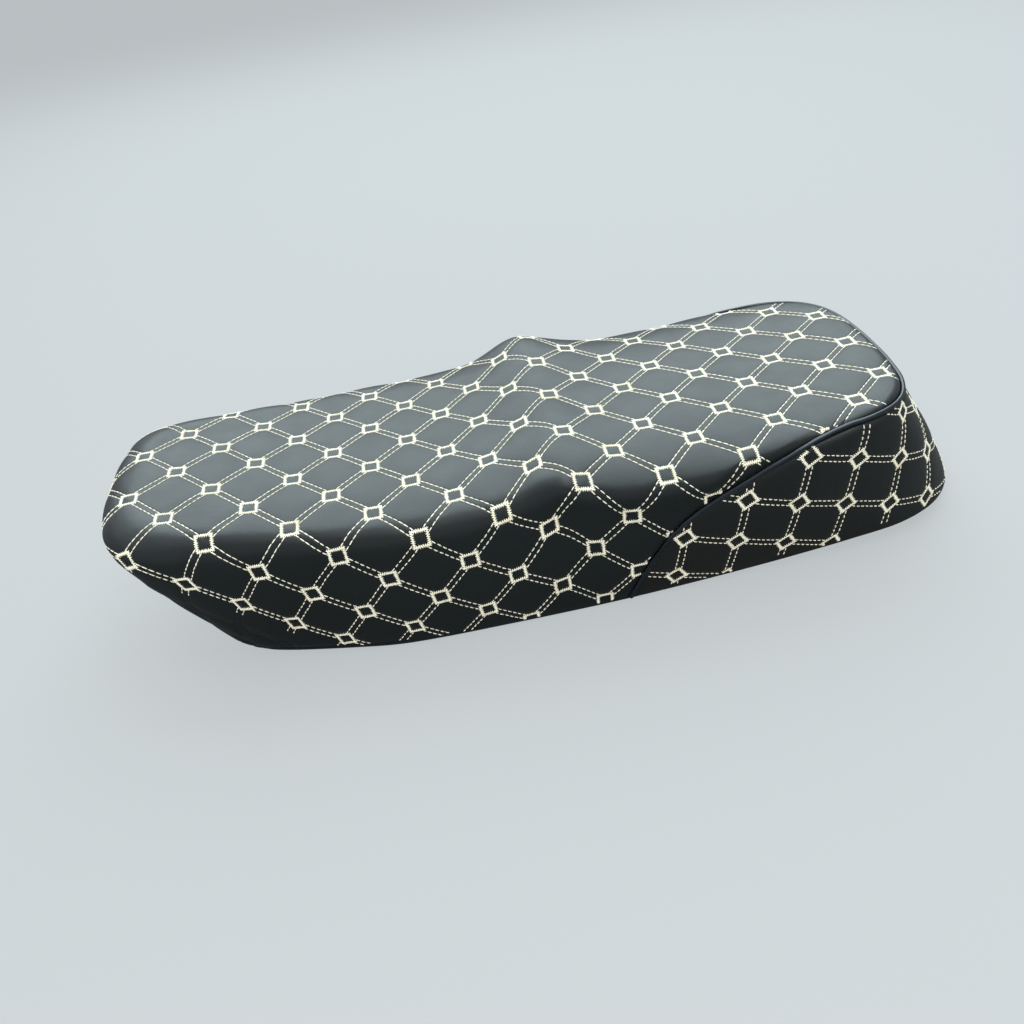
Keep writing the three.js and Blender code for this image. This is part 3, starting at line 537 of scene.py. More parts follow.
def ripple(points):
    """Slight unevenness: a broad wave and a finer one."""
    x, y, z = points[..., 0], points[..., 1], points[..., 2]
    return (0.16 * np.sin(x / 23 + 0.7 * np.sin(y / 31)) * np.sin(y / 19 + z / 27 + 1.3)
            + 0.10 * np.sin(x / 9.7 + y / 13.1 + z / 11))


def nose_crease(i, points):
    """The turned edge along the raked nose: a thin channel above a soft roll."""
    fade = ramp01((8.6 - STATIONS[i]) / 0.8)
    above = points[..., 2] - BOTTOM[i]
    return fade * (-0.9 * np.exp(-((above - 7.0) / 1.2) ** 2)
                   + 0.5 * np.exp(-((above - 3.0) / 2.6) ** 2))


def edge_roll(points, normals):
    """Lowers points near the seam so that the cloth turns down against the cord."""
    gap = seam_distance(points)
    radius = 2.3
    inside = np.sqrt(np.maximum(0, radius**2 - np.minimum(gap, radius) ** 2)) + 0.35
    fillet = 1.1 * ramp01(1 - (gap - radius) / 4.2) ** 2
    drop = np.where(gap < radius, np.maximum(inside, fillet), fillet)
    return points - normals * drop[..., None]


# ------------------------------------------------------------------ the two panels
def wall_point(i, depth, z):
    """Point of the lower wall of column i at height z, a level depth inside the surface."""
    low = slice(None, 129, -1)
    heights = FINE[i, low, 2]
    point = interp_rows(z, heights, FINE[i, low])
    normal = interp_rows(z, heights, NORMALS[i, low])[..., :2]
    level = np.linalg.norm(normal, axis=-1, keepdims=True)
    point[..., :2] -= normal / level * (np.expand_dims(depth, -1) / level)
    point[..., 2] = z
    return point


def outer_arcs(panel, i):
    """Arc lengths of the outer rows of column i, which stop short of the seam."""
    hem = float(np.interp(-(BOTTOM[i] + 5.0), -FINE[i, 60:, 2], ARC[i, 60:]))
    cut = SEAM_ARC[i]
    if cut is None:
        return np.linspace(0, hem, TOP_ROWS)
    before, after = max(FIRST, i - 1), min(COUNT - 1, i + 1)
    step = at_arc(after, SEAM_ARC[after]) - at_arc(before, SEAM_ARC[before])
    slope = abs(step[2]) / (np.linalg.norm(step[:2]) + 1e-6)
    margin = 1.25 * np.sqrt(1 + slope**2)
    if panel == "top":
        return np.linspace(0, min(hem, cut - margin), TOP_ROWS)
    return np.linspace(min(cut + margin, hem - 0.5), hem, SKIRT_ROWS)


def build_half(panel, side):
    """Profiles, flat and lattice coordinates of half a panel, and the count of outer rows.

    side is 1 for the left half and -1 for the right, which is built mirrored to the left.
    """
    is_top = panel == "top"
    indices = range(0 if is_top else FIRST, COUNT)
    arcs = [outer_arcs(panel, i) for i in indices]
    columns = list(zip(indices, arcs))
    points = np.array([at_arc(i, arc) for i, arc in columns])
    normals = np.array([normal_at(i, arc) for i, arc in columns])
    cloth = FLAT_TOP if is_top else FLAT_SKIRT
    flat = np.array([interp_rows(arc, ARC[i], cloth[i]) for i, arc in columns])
    flat = flat * ([1, side] if is_top else [side, 1])
    lattice = top_lattice(flat) if is_top else skirt_lattice(flat)

    height = quilt_relief(lattice, TOP_CELL if is_top else SKIRT_CELL)
    gap = seam_distance(points)
    for k, (i, arc) in enumerate(columns):
        height[k] *= ramp01((points[k, :, 2] - BOTTOM[i] - 3) / 9)
        if is_top:
            swell = padding(i, arc, points[k], normals[k], side)
            height[k] += nose_crease(i, points[k]) + swell * ramp01((gap[k] - 3) / 14)
    height *= ramp01((gap - 2.0) / 6.0)
    height += ripple(points) * ramp01((gap - 2.0) / 8.0)
    outer = edge_roll(points + normals * height[..., None], normals)

    profiles = []
    for k, (i, arc) in enumerate(columns):
        inner_arc = np.linspace(arc[-1], arc[0], INNER_ROWS)
        outward = normal_at(i, inner_arc)
        inner = at_arc(i, inner_arc) - outward * COVER_INNER
        if is_top and SEAM_ARC[i] is not None:
            part = np.linspace(0, 1, len(HEM) + 2)[1:-1, None]
            edge = outer[k, -1] * (1 - part) + (inner[0] - normals[k, -1] * SEAM_PINCH) * part
        else:
            edge = wall_point(i, HEM[:, 0], BOTTOM[i] + HEM[:, 1])
        if SEAM_ARC[i] is not None:
            pinch = SEAM_PINCH * ramp01(1 - (seam_distance(inner) - 1.0) / 5)
            inner = inner - outward * pinch[:, None]
        if is_top:
            inner[-1, 1] = 0
        profiles.append(np.vstack([outer[k], edge, inner]))
    profiles = np.array(profiles)
    outer_rows = outer.shape[1]
    more = ((0, 0), (0, profiles.shape[1] - outer_rows), (0, 0))
    return profiles, np.pad(flat, more, "edge"), np.pad(lattice, more, "edge"), outer_rows


def panel_arrays(panel):
    """Vertices, flat and lattice coordinates, quads, outer quads and end caps of a panel."""
    left, right = build_half(panel, 1), build_half(panel, -1)
    part = slice(1, -1) if panel == "top" else slice(0, -1)
    verts = np.concatenate([left[0], swell_right(right[0][part][::-1]) * MIRROR])
    flat, lattice = (np.concatenate([left[k], right[k][part][::-1]]) for k in (1, 2))
    rings, rows = verts.shape[:2]
    index = np.arange(rings * rows).reshape(rings, rows)
    if panel == "top":
        # the right half shares the spine vertices of the left; the rings close on themselves
        for k in range(rings // 2 + 1, rings):
            index[k, [0, -1]] = index[rings - k, [0, -1]]
        after = np.roll(index, -1, axis=0)
        quads = np.stack([index[:, :-1], index[:, 1:], after[:, 1:], after[:, :-1]], -1)
        caps = []
    else:
        # every profile is a closed loop; the first and the last one are capped
        below = np.roll(index, -1, axis=1)
        quads = np.stack([index[:-1], below[:-1], below[1:], index[1:]], -1)
        caps = [index[0], index[-1][::-1]]
    outer_quads = quads[:, :left[3] - 1].reshape(-1, 4)
    return (verts.reshape(-1, 3), flat.reshape(-1, 2), lattice.reshape(-1, 2),
            quads.reshape(-1, 4), outer_quads, caps)


def mesh_object(name, verts, faces, material):
    """A smooth mesh object from vertices in mm; faces is an (n, k) array or a list of faces."""
    mesh = bpy.data.meshes.new(name)
    verts = np.asarray(verts, np.float64) * 0.001
    if isinstance(faces, np.ndarray):
        size = faces.shape[1]
        mesh.vertices.add(len(verts))
        mesh.vertices.foreach_set("co", verts.astype(np.float32).ravel())
        mesh.loops.add(faces.size)
        mesh.loops.foreach_set("vertex_index", faces.astype(np.int32).ravel())
        mesh.polygons.add(len(faces))
        mesh.polygons.foreach_set("loop_start", np.arange(0, faces.size, size, dtype=np.int32))
        mesh.polygons.foreach_set("loop_total", np.full(len(faces), size, np.int32))
        mesh.update(calc_edges=True)
    else:
        mesh.from_pydata(verts.tolist(), [], faces)
    mesh.validate()
    mesh.update()
    mesh.polygons.foreach_set("use_smooth", np.ones(len(mesh.polygons), bool))
    piece = bpy.data.objects.new(name, mesh)
    bpy.context.scene.collection.objects.link(piece)
    mesh.materials.append(material)
    return piece


def register(piece, replaces=None):
    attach(piece, "root")
    if replaces:
        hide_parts(replaces)


def panel_object(name, panel, material):
    """The closed panel with its lattice coordinates as a UV map, and its outer face as Cloth."""
    verts, flat, lattice, quads, outer_quads, caps = panel_arrays(panel)
    # outward orientation from the signed volume
    one, two, three, four = (verts[quads[:, k]] - verts.mean(0) for k in range(4))
    volume = (np.einsum("ij,ij->i", one, np.cross(two, three))
              + np.einsum("ij,ij->i", one, np.cross(three, four))).sum()
    flip = volume < 0
    used = np.unique(quads)
    renumber = np.zeros(len(verts), int)
    renumber[used] = np.arange(len(used))
    faces = renumber[quads[:, ::-1] if flip else quads].tolist()
    faces += [renumber[cap if flip else cap[::-1]].tolist() for cap in caps]
    piece = mesh_object(name, verts[used], faces, material)
    mesh = piece.data
    layer = mesh.uv_layers.new(name="quilt")
    loops = np.zeros(len(mesh.loops), np.int32)
    mesh.loops.foreach_get("vertex_index", loops)
    layer.data.foreach_set("uv", lattice[used][loops].astype(np.float32).ravel())
    inside = np.array([0.0 if panel == "top" else -150.0, 0, 60.0])
    return piece, Cloth(verts, flat, outer_quads, inside)


def cross2(one, two):
    return one[:, 0] * two[:, 1] - two[:, 0] * one[:, 1]


class Cloth:
    """Finds the place on a panel's outer face for a point in its flat coordinates."""

    def __init__(self, verts, flat, quads, inside):
        """inside is a point in the seat, which the normals point away from."""
        triangles = np.concatenate([quads[:, [0, 1, 2]], quads[:, [0, 2, 3]]])
        used, inverse = np.unique(triangles, return_inverse=True)
        self.triangles = inverse.reshape(-1, 3)
        self.verts, self.flat = verts[used], flat[used]
        one, two, three = (self.verts[self.triangles[:, k]] for k in range(3))
        face_normals = np.cross(two - one, three - one)
        normals = np.zeros_like(self.verts)
        for k in range(3):
            np.add.at(normals, self.triangles[:, k], face_normals)
        normals = unit(normals)
        outward = ((self.verts - inside) * normals).sum() >= 0
        self.normals = normals if outward else -normals
        self.tree = BVHTree.FromPolygons(
            [(float(x), float(y), 0.0) for x, y in self.flat], self.triangles.tolist())

    def place(self, points):
        """Positions and normals for flat points, and a mask of those that lie on the cloth."""
        nearest, hit_mask = np.zeros(len(points), int), np.zeros(len(points), bool)
        for i, (x, y) in enumerate(points):
            hit = self.tree.find_nearest(Vector((x, y, 0.0)), 4.0)
            if hit[0] is not None:
                nearest[i] = hit[2]
                hit_mask[i] = hit[3] < 0.35
        corners = self.triangles[nearest].T
        start, second, third = (self.flat[corner] for corner in corners)
        side_one, side_two, offset = second - start, third - start, points - start
        area2 = cross2(side_one, side_two)
        area2 = np.where(np.abs(area2) < 1e-9, 1e-9, area2)
        weight_one = np.clip(cross2(offset, side_two) / area2, -0.1, 1.1)
        weight_two = np.clip(cross2(side_one, offset) / area2, -0.1, 1.1)
        weights = (1 - weight_one - weight_two, weight_one, weight_two)

        def blend(values):
            return sum(w[:, None] * values[corner] for w, corner in zip(weights, corners))

        return blend(self.verts), unit(blend(self.normals)), hit_mask


# ------------------------------------------------------------------ thread
def threads(starts, ends, facing, width, height, sink, rings, lift=0.0):
    """Closed low strands from starts to ends. Their ends dip by sink into the cloth."""
    count, sides = len(starts), THREAD_SIDES
    along = unit(ends - starts)
    raised = unit(facing - (facing * along).sum(1, keepdims=True) * along)
    across = np.cross(raised, along)
    part = np.linspace(0, 1, rings)
    shape = np.sqrt(np.clip(1 - (2 * part - 1) ** 4, 0.0, 1)) * 0.78 + 0.22
    rise = np.sin(np.pi * part) ** 0.5
    angle = np.arange(sides) * 2 * np.pi / sides + np.pi / sides
    width = np.asarray(width, float).reshape(-1, 1)
    verts = np.zeros((count, rings, sides, 3))
    for r in range(rings):
        base = starts + (ends - starts) * part[r] + raised * (lift - sink * (1 - rise[r]))
        for k in range(sides):
            verts[:, r, k] = (base + across * (np.cos(angle[k]) * 0.5 * width * shape[r])
                              + raised * (np.sin(angle[k]) * 0.5 * height * shape[r]))
    quads = []
    for r in range(rings - 1):
        for k in range(sides):
            k2 = (k + 1) % sides
            quads.append((r * sides + k, r * sides + k2,
                          (r + 1) * sides + k2, (r + 1) * sides + k))
    last = (rings - 1) * sides
    for cap in ((0, 1, 2, 3), (0, 3, 4, 5)):
        quads.append(cap[::-1])
        quads.append(tuple(last + k for k in cap))
    # both caps of the first end come before both of the last end
    quads[-3], quads[-2] = quads[-2], quads[-3]
    faces = np.array(quads)[None] + (np.arange(count) * rings * sides)[:, None, None]
    return verts.reshape(-1, 3), faces.reshape(-1, 4)


def row_stitches(line, flank):
    """(starts, ends) of the two rows along a flat line between neighbouring nodes.

    With a flank, the stitches within that distance of the middle nearly touch.
    """
    length = run_length(line)
    low = SQUARE_HALF * 1.414 - ROW_HALF + 1.4       # clear of the square on the node
    high = length[-1] - low
    count = max(2, int(round((high - low) / STITCH_PITCH)))
    edges = np.linspace(low, high, count + 1)
    pitch = (high - low) / count
    share = STITCH_SHARE
    if flank is not None:
        beside = np.interp(edges[:-1] + pitch / 2, length, np.abs(line[:, 1]))
        share = np.where(beside > flank, STITCH_SHARE, 0.985) - rng.uniform(0, 0.03, count)
    gap = pitch * (1 - share) / 2
    tangent = np.gradient(line, length, axis=0)
    rows = []
    for side in (-1, 1):
        shift = rng.normal(0, 0.10, (count, 2))
        wobble = rng.normal(0, 0.09, (count, 2))
        pair = []
        for k, at in enumerate((edges[:-1] + gap, edges[1:] - gap)):
            at = at + shift[:, k]
            along = unit(interp_rows(at, length, tangent))
            across = np.stack([-along[:, 1], along[:, 0]], 1)
            offset = (side * ROW_HALF + wobble[:, k])[:, None]
            pair.append(interp_rows(at, length, line) + across * offset)
        rows.append(pair)
    return rows


def square_stitches(node, i, j):
    """(starts, ends) of the slanted stitches across the four sides of a node's square."""
    centre = node(i, j)
    toward_i, toward_j = unit(node(i + 0.12, j) - centre), unit(node(i, j + 0.12) - centre)
    x, y = unit(toward_i + toward_j), unit(toward_i - toward_j)
    corners = [centre + (x * sx + y * sy) * SQUARE_HALF
               for sx, sy in ((1, 1), (-1, 1), (-1, -1), (1, -1))]
    count = 16
    part = ((np.arange(count) + 0.5) / count)[:, None]
    zigzag = np.where(np.arange(count) % 2, 1, -1)[:, None]
    sides = []
    for k in range(4):
        side = corners[(k + 1) % 4] - corners[k]
        along = unit(side)
        out = np.array([along[1], -along[0]])
        middle = corners[k] + side * part * 1.12 - side * 0.06
        slant = 0.42 * zigzag * along
        half = 1.62 + rng.normal(0, 0.17, (count, 1))
        shift = rng.normal(0, 0.10, (count, 1))
        sides.append((middle + out * (half + shift) + slant,
                      middle - out * (half - shift) - slant))
    return sides


def stitch_panel(cloth, node, cells, keep, flank=None):
    """Double rows between neighbouring nodes and the bordered squares on the nodes.

    Gives starts, ends and facing of both kinds.
    """
    nodes = [(i, j) for i in range(cells[0], cells[1]) for j in range(cells[2], cells[3])]
    part = np.linspace(0, 1, 23)
    rows, squares = [], []
    for i, j in nodes:
        for di, dj in ((1, 0), (0, 1)):
            if keep(i, j) or keep(i + di, j + dj):
                line = node(i + di * part, j + dj * part)
                if 20 <= run_length(line)[-1] <= 75:
                    rows += row_stitches(line, flank)
    for i, j in nodes:
        if keep(i, j):
            squares += square_stitches(node, i, j)
    kinds = []
    # gap: free space beside the seam; reach: limit of lattice coordinate a at the left fold
    for pairs, gap, reach in ((rows, 3.1, -1.44), (squares, 2.6, -1.60)):
        flat_starts, flat_ends = (np.vstack(half) for half in zip(*pairs))
        starts, start_normals, start_hit = cloth.place(flat_starts)
        ends, end_normals, end_hit = cloth.place(flat_ends)
        good = start_hit & end_hit & (np.linalg.norm(ends - starts, axis=1) < 8)
        good &= (seam_distance(starts) > gap) & (seam_distance(ends) > gap)
        if flank is not None:
            # the stitches stop short of the fold along the raked nose
            x, y, z = starts.T
            turn = (start_normals * np.where(y[:, None] < 0, MIRROR, [1, 1, 1])) @ FOLD
            fold = (np.abs(turn) < 0.20) | (
                (turn > -0.25) & (y > 0) & (top_lattice(flat_starts)[:, 0] < reach))
            good &= ~fold | (x < 165) | (z > 118) | (np.abs(y) < 35)
        kinds.append((starts[good], ends[good], (start_normals + end_normals)[good]))
    return kinds


# ------------------------------------------------------------------ materials
class Nodes:
    """Short calls that add nodes to a tree and link them."""

    def __init__(self, tree):
        self.tree = tree

    def set(self, node, inputs):
        """Links or sets inputs, given by name or number."""
        for key, value in inputs.items():
            if isinstance(value, bpy.types.NodeSocket):
                self.tree.links.new(value, node.inputs[key])
            else:
                node.inputs[key].default_value = value

    def shade(self, inputs):
        self.set(self.tree.nodes["Principled BSDF"], inputs)

    def node(self, kind, inputs=None, **settings):
        node = self.tree.nodes.new(kind)
        for key, value in settings.items():
            setattr(node, key, value)
        self.set(node, inputs or {})
        return node

    def math(self, operation, *values, clamp=False):
        return self.node("ShaderNodeMath", dict(enumerate(values)),
                         operation=operation, use_clamp=clamp).outputs[0]

    def coords(self):
        return self.node("ShaderNodeTexCoord").outputs["Object"]

    def noise(self, vector, scale, detail=3.0, rough=0.5, out="Fac"):
        return self.node("ShaderNodeTexNoise", {
            "Vector": vector, "Scale": scale, "Detail": detail, "Roughness": rough}).outputs[out]

    def voronoi(self, vector, scale, feature, randomness):
        return self.node("ShaderNodeTexVoronoi", {
            "Vector": vector, "Scale": scale, "Randomness": randomness},
            feature=feature).outputs["Distance"]

    def ramp(self, factor, stops):
        node = self.node("ShaderNodeValToRGB")
        elements = node.color_ramp.elements
        while len(elements) < len(stops):
            elements.new(0.5)
        for element, (position, color) in zip(elements, stops):
            element.position = position
            element.color = (*color, 1)
        self.set(node, {"Fac": factor})
        return node.outputs["Color"]

    def span(self, value, source, to=(0.0, 1.0)):
        """Maps the range source to the range to."""
        return self.node("ShaderNodeMapRange", {
            "Value": value, "From Min": source[0], "From Max": source[1],
            "To Min": to[0], "To Max": to[1]}).outputs["Result"]

    def bump(self, heights, strength):
        """Bump normal from (height, metres) pairs that are added up."""
        total = None
        for height, metres in heights:
            layer = self.math("MULTIPLY", height, metres)
            total = layer if total is None else self.math("ADD", total, layer)
        return self.bump_from(total, strength)

    def bump_from(self, height, strength):
        return self.node("ShaderNodeBump", {
            "Height": height, "Strength": strength, "Distance": 1.0}).outputs["Normal"]


def new_material(name):
    material = bpy.data.materials.new(name)
    material.use_nodes = True
    return material, Nodes(material.node_tree)


def stitch_channels(nodes, cell):
    """Mask of the fine channels that the rows of stitching pull along the quilting lattice."""
    uv = nodes.node("ShaderNodeUVMap", uv_map="quilt").outputs["UV"]
    split = nodes.node("ShaderNodeSeparateXYZ", {"Vector": uv})
    dist = []
    for k in (0, 1):
        whole = nodes.math("ROUND", split.outputs[k])
        off = nodes.math("SUBTRACT", split.outputs[k], whole)
        dist.append(nodes.math("MULTIPLY", nodes.math("ABSOLUTE", off), cell))
    squares = [nodes.math("MULTIPLY", d, d) for d in dist]
    radius = nodes.math("SQRT", nodes.math("ADD", *squares))
    off_square = nodes.span(radius, (6.2, 8.6))
    lines = []
    for d in dist:
        off = nodes.math("ABSOLUTE", nodes.math("SUBTRACT", d, ROW_HALF))
        lines.append(nodes.math("POWER", nodes.span(off, (0.0, 1.5), to=(1.0, 0.0)), 1.6))
    return nodes.math("MULTIPLY", nodes.math("MAXIMUM", *lines), off_square)


def leather(name, cell, tint, rough):
    """Grained leatherette with stitching channels."""
    material, nodes = new_material(name)
    co = nodes.coords()
    channels = stitch_channels(nodes, cell)
    # fine pebbled grain: small cells broken up by a softer noise
    warp = nodes.noise(co, scale=210, detail=2.0, out="Color")
    warped = nodes.node("ShaderNodeVectorMath", {0: warp, 1: (0.0012,) * 3, 2: co},
                        operation="MULTIPLY_ADD").outputs[0]
    cells = nodes.voronoi(warped, scale=780, feature="DISTANCE_TO_EDGE", randomness=0.9)
    pebble = nodes.span(cells, (0.0, 0.22))
    fine = nodes.noise(co, scale=1500, rough=0.6)
    grain = nodes.math("ADD", nodes.math("MULTIPLY", pebble, 0.7),
                       nodes.math("MULTIPLY", fine, 0.5))
    wrinkle = nodes.noise(co, scale=95, detail=4.0, rough=0.55)
    # heights in metres
    height = nodes.math("ADD", nodes.math("MULTIPLY", grain, 0.00006),
                        nodes.math("MULTIPLY", wrinkle, 0.00030))
    height = nodes.math("SUBTRACT", height, nodes.math("MULTIPLY", channels, 0.00042))
    patch = nodes.noise(co, scale=7)
    gloss = nodes.span(nodes.noise(co, scale=38, detail=5.0, rough=0.6), (0.3, 0.75),
                       to=(rough - 0.04, rough + 0.06))
    dull = nodes.math("MULTIPLY", nodes.math("SUBTRACT", 1.0, pebble), 0.10)
    nodes.shade({
        "Normal": nodes.bump_from(height, strength=0.85),
        "Base Color": nodes.ramp(patch, [(0.3, tint), (0.75, tuple(c * 1.35 for c in tint))]),
        "Roughness": nodes.math("ADD", gloss, dull),
        "Specular IOR Level": 0.5, "Sheen Weight": 0.04, "Sheen Roughness": 0.4})
    return material


def thread_material(name, light, shade, rough):
    material, nodes = new_material(name)
    co = nodes.coords()
    ply = nodes.noise(co, scale=1700, rough=0.6)
    tone = nodes.noise(co, scale=60, rough=0.6)
    mixed = nodes.math("ADD", nodes.math("MULTIPLY", ply, 0.45),
                       nodes.math("MULTIPLY", tone, 0.55))
    bright = tuple(min(1, c * 1.06) for c in light)
    fibre = nodes.node("ShaderNodeTexWave", {"Vector": co, "Scale": 1100.0, "Distortion": 2.0},
                       bands_direction="DIAGONAL").outputs["Fac"]
    nodes.shade({"Roughness": rough})            # the plain value beneath the link
    nodes.shade({
        "Base Color": nodes.ramp(mixed, [(0.33, shade), (0.52, light), (0.75, bright)]),
        "Normal": nodes.bump([(fibre, 0.00008), (ply, 0.00008)], strength=0.8),
        "Roughness": nodes.span(ply, (0.3, 0.7), to=(rough - 0.08, rough + 0.1)),
        "Sheen Weight": 0.3, "Sheen Roughness": 0.35, "Specular IOR Level": 0.4})
    return material


def vinyl_material(name):
    material, nodes = new_material(name)
    co = nodes.coords()
    fine, broad = nodes.noise(co, scale=300), nodes.noise(co, scale=60)
    nodes.shade({
        "Normal": nodes.bump([(fine, 0.00008), (broad, 0.0005)], strength=0.6),
        "Base Color": nodes.ramp(nodes.noise(co, scale=25, detail=2.0), [
            (0.3, (0.005, 0.008, 0.011)), (0.8, (0.009, 0.015, 0.021))]),
        "Roughness": nodes.span(nodes.noise(co, scale=150, detail=4.0, rough=0.6),
                                (0.3, 0.75), to=(0.20, 0.34)),
        "Coat Weight": 0.15, "Coat Roughness": 0.12})
    return material


def foam_material(name):
    material, nodes = new_material(name)
    co = nodes.coords()
    pores = nodes.voronoi(co, scale=620, feature="F1", randomness=1.0)
    lumps = nodes.noise(co, scale=130, detail=4.0, rough=0.6)
    nodes.shade({"Roughness": 0.95})             # the plain value beneath the link
    nodes.shade({
        "Normal": nodes.bump([(pores, 0.0007), (lumps, 0.0006)], strength=0.9),
        # the colour darkens in the pits of the pores, where the bump is lowest: painted shade
        "Base Color": nodes.ramp(pores, [(0.1, (0.36, 0.29, 0.13)), (0.6, (0.62, 0.52, 0.28))]),
        "Roughness": nodes.span(pores, (0.0, 0.6), to=(0.85, 1.0))})
    return material


def scratched(nodes, co, color, wear):
    """The colour with patches of fine scratches in the colour wear."""
    lines = nodes.node("ShaderNodeTexWave", {
        "Vector": co, "Scale": 35.0, "Distortion": 22.0, "Detail": 4.0,
        "Detail Scale": 3.0}).outputs["Fac"]
    thin = nodes.span(lines, (0.97, 1.0))
    patches = nodes.span(nodes.noise(co, scale=20, detail=4.0, rough=0.6), (0.5, 0.62))
    mask = nodes.math("MULTIPLY", thin, patches, clamp=True)
    return nodes.node("ShaderNodeMix", {0: mask, 6: color, 7: (*wear, 1)},
                      data_type="RGBA").outputs[2]


def hard_material(name, low, high, rough, scale, bump, metal=0.0, grain=900, wear=None):
    """Plastic, rubber or metal: two mottled greys, a fine grain of bump metres, scratches."""
    material, nodes = new_material(name)
    co = nodes.coords()
    broad = nodes.noise(co, scale=scale, detail=4.0, rough=0.6)
    fine = nodes.noise(co, scale=grain, rough=0.6)
    color = nodes.ramp(broad, [(0.32, low), (0.7, high)])
    if wear:
        color = scratched(nodes, co, color, wear)
    coarse = nodes.noise(co, scale=grain / 6)
    nodes.shade({
        "Base Color": color,
        "Roughness": nodes.span(broad, (0.3, 0.7), to=(rough - 0.08, rough + 0.08)),
        "Normal": nodes.bump([(fine, bump), (coarse, bump * 2)], strength=0.8),
        "Metallic": metal})
    return material


TOP_LEATHER = leather("top_leatherette", TOP_CELL, tint=(0.0060, 0.0082, 0.0086), rough=0.31)
SKIRT_LEATHER = leather(
    "skirt_leatherette", SKIRT_CELL, tint=(0.0075, 0.0088, 0.0080), rough=0.42)
THREAD = thread_material(
    "stitch_thread", light=(0.90, 0.87, 0.71), shade=(0.74, 0.67, 0.46), rough=0.62)
VINYL = vinyl_material("piping_vinyl")
FOAM = foam_material("seat_foam")
PAN = hard_material(
    "pan_plastic", low=(0.012, 0.012, 0.013), high=(0.022, 0.022, 0.023), rough=0.55,
    scale=14, bump=0.00005, wear=(0.10, 0.10, 0.10))
RUBBER = hard_material(
    "buffer_rubber", low=(0.012, 0.012, 0.012), high=(0.028, 0.027, 0.026), rough=0.80,
    scale=45, bump=0.00008)
STEEL = hard_material(
    "painted_steel", low=(0.010, 0.010, 0.011), high=(0.018, 0.018, 0.020), rough=0.36,
    scale=30, bump=0.00004, metal=0.15, wear=(0.32, 0.31, 0.30))
ZINC = hard_material(
    "zinc_steel", low=(0.52, 0.52, 0.50), high=(0.72, 0.71, 0.66), rough=0.34,
    scale=120, bump=0.00003, metal=0.95, grain=1500)
STAPLE = hard_material(
    "staple_steel", low=(0.55, 0.55, 0.55), high=(0.75, 0.75, 0.75), rough=0.28,
    scale=90, bump=0.00002, metal=1.0)

# ------------------------------------------------------------------ the cover
top, top_cloth = panel_object("quilted_top", "top", TOP_LEATHER)
register(top, replaces="top_cover")
skirt, skirt_cloth = panel_object("quilted_skirt", "skirt", SKIRT_LEATHER)
register(skirt, replaces="rear_skirt_cover")


# ------------------------------------------------------------------ stitching
def sew(name, stitches, sign, vary, **shape):
    """One object with the stitches of one kind on one side: sign is 1 left, -1 right."""
    starts, ends, facing = stitches
    on_side = (starts[:, 1] + ends[:, 1]) * sign >= (0 if sign > 0 else 1e-9)
    width = THREAD_WIDTH + rng.normal(0, vary, on_side.sum())
    verts, faces = threads(starts[on_side], ends[on_side], facing[on_side], width, **shape)
    register(mesh_object(name, verts, faces, THREAD))


top_stitches = stitch_panel(
    top_cloth, top_node, cells=(-8, 20, -8, 20),
    keep=lambda i, j: -8 < i + j < 23 and -11 < j - i < 10, flank=118)
skirt_stitches = stitch_panel(
    skirt_cloth, skirt_node, cells=(-9, 7, -10, 13), keep=lambda i, j: True)
for label, (rows, squares), row_sink in (("top", top_stitches, 0.14),
                                         ("skirt", skirt_stitches, 0.34)):
    for side, sign in (("left", 1), ("right", -1)):
        sew(f"stitch_rows_{label}_{side}", rows, sign,
            vary=0.05, height=0.80, sink=row_sink, rings=5, lift=0.16)
        sew(f"stitch_squares_{label}_{side}", squares, sign,
            vary=0.07, height=0.85, sink=0.35, rings=4, lift=0.30)


# ------------------------------------------------------------------ piping cord
def welt(path, normals, radius):
    """A round cord with the narrow sewn tape that hangs from it into the seam."""
    along = unit(np.gradient(path, axis=0))
    raised = unit(normals - (normals * along).sum(1, keepdims=True) * along)
    sideways = np.cross(raised, along)
    angle = np.radians(np.linspace(-58, 238, 15))
    scale = (radius / radius.max())[:, None]
    tape = np.array([(-0.95, -1.95), (-0.85, -3.3), (0.85, -3.3), (0.95, -1.95)])
    across = np.hstack([radius[:, None] * np.cos(angle), tape[:, 0] * scale])
    height = np.hstack([radius[:, None] * np.sin(angle), tape[:, 1] * scale])
    count, sides = across.shape
    verts = (path[:, None] + across[..., None] * sideways[:, None]
             + height[..., None] * raised[:, None]).reshape(-1, 3)
    index = np.arange(count * sides).reshape(count, sides)
    after = np.roll(index, -1, 1)
    faces = np.stack([index[:-1], after[:-1], after[1:], index[1:]], -1).reshape(-1, 4).tolist()
    hub = count * sides                  # centres of the two end caps: hub and hub + 1
    faces += [[hub, int(after[0, k]), int(index[0, k])] for k in range(sides)]
    faces += [[hub + 1, int(index[-1, k]), int(after[-1, k])] for k in range(sides)]
    return np.vstack([verts, path[:1], path[-1:]]), faces


def piping():
    """The cord along the seam; both ends taper and turn in under the rim."""
    points, normals = evenly(SEAM_POINTS, CORD_STEP, SEAM_NORMALS)
    kept = points[:, 2] > 3.0
    points, normals = points[kept], normals[kept]
    length = run_length(points)
    to_end = np.minimum(length, length[-1] - length)
    radius = CORD_RADIUS + 0.05 * np.sin(length / 17) + 0.04 * np.sin(length / 5.3 + 1)
    radius += 0.25 * np.exp(-((to_end - 5.5) / 3.0) ** 2)
    radius *= np.clip(0.25 + to_end / 2.0, 0.25, 1) ** 0.5
    path = points + normals * (0.25 - 1.2 * np.exp(-to_end / 2.5))[:, None]
    return welt(path, normals, radius)


register(mesh_object("piping", *piping(), VINYL), replaces="piping_cord")


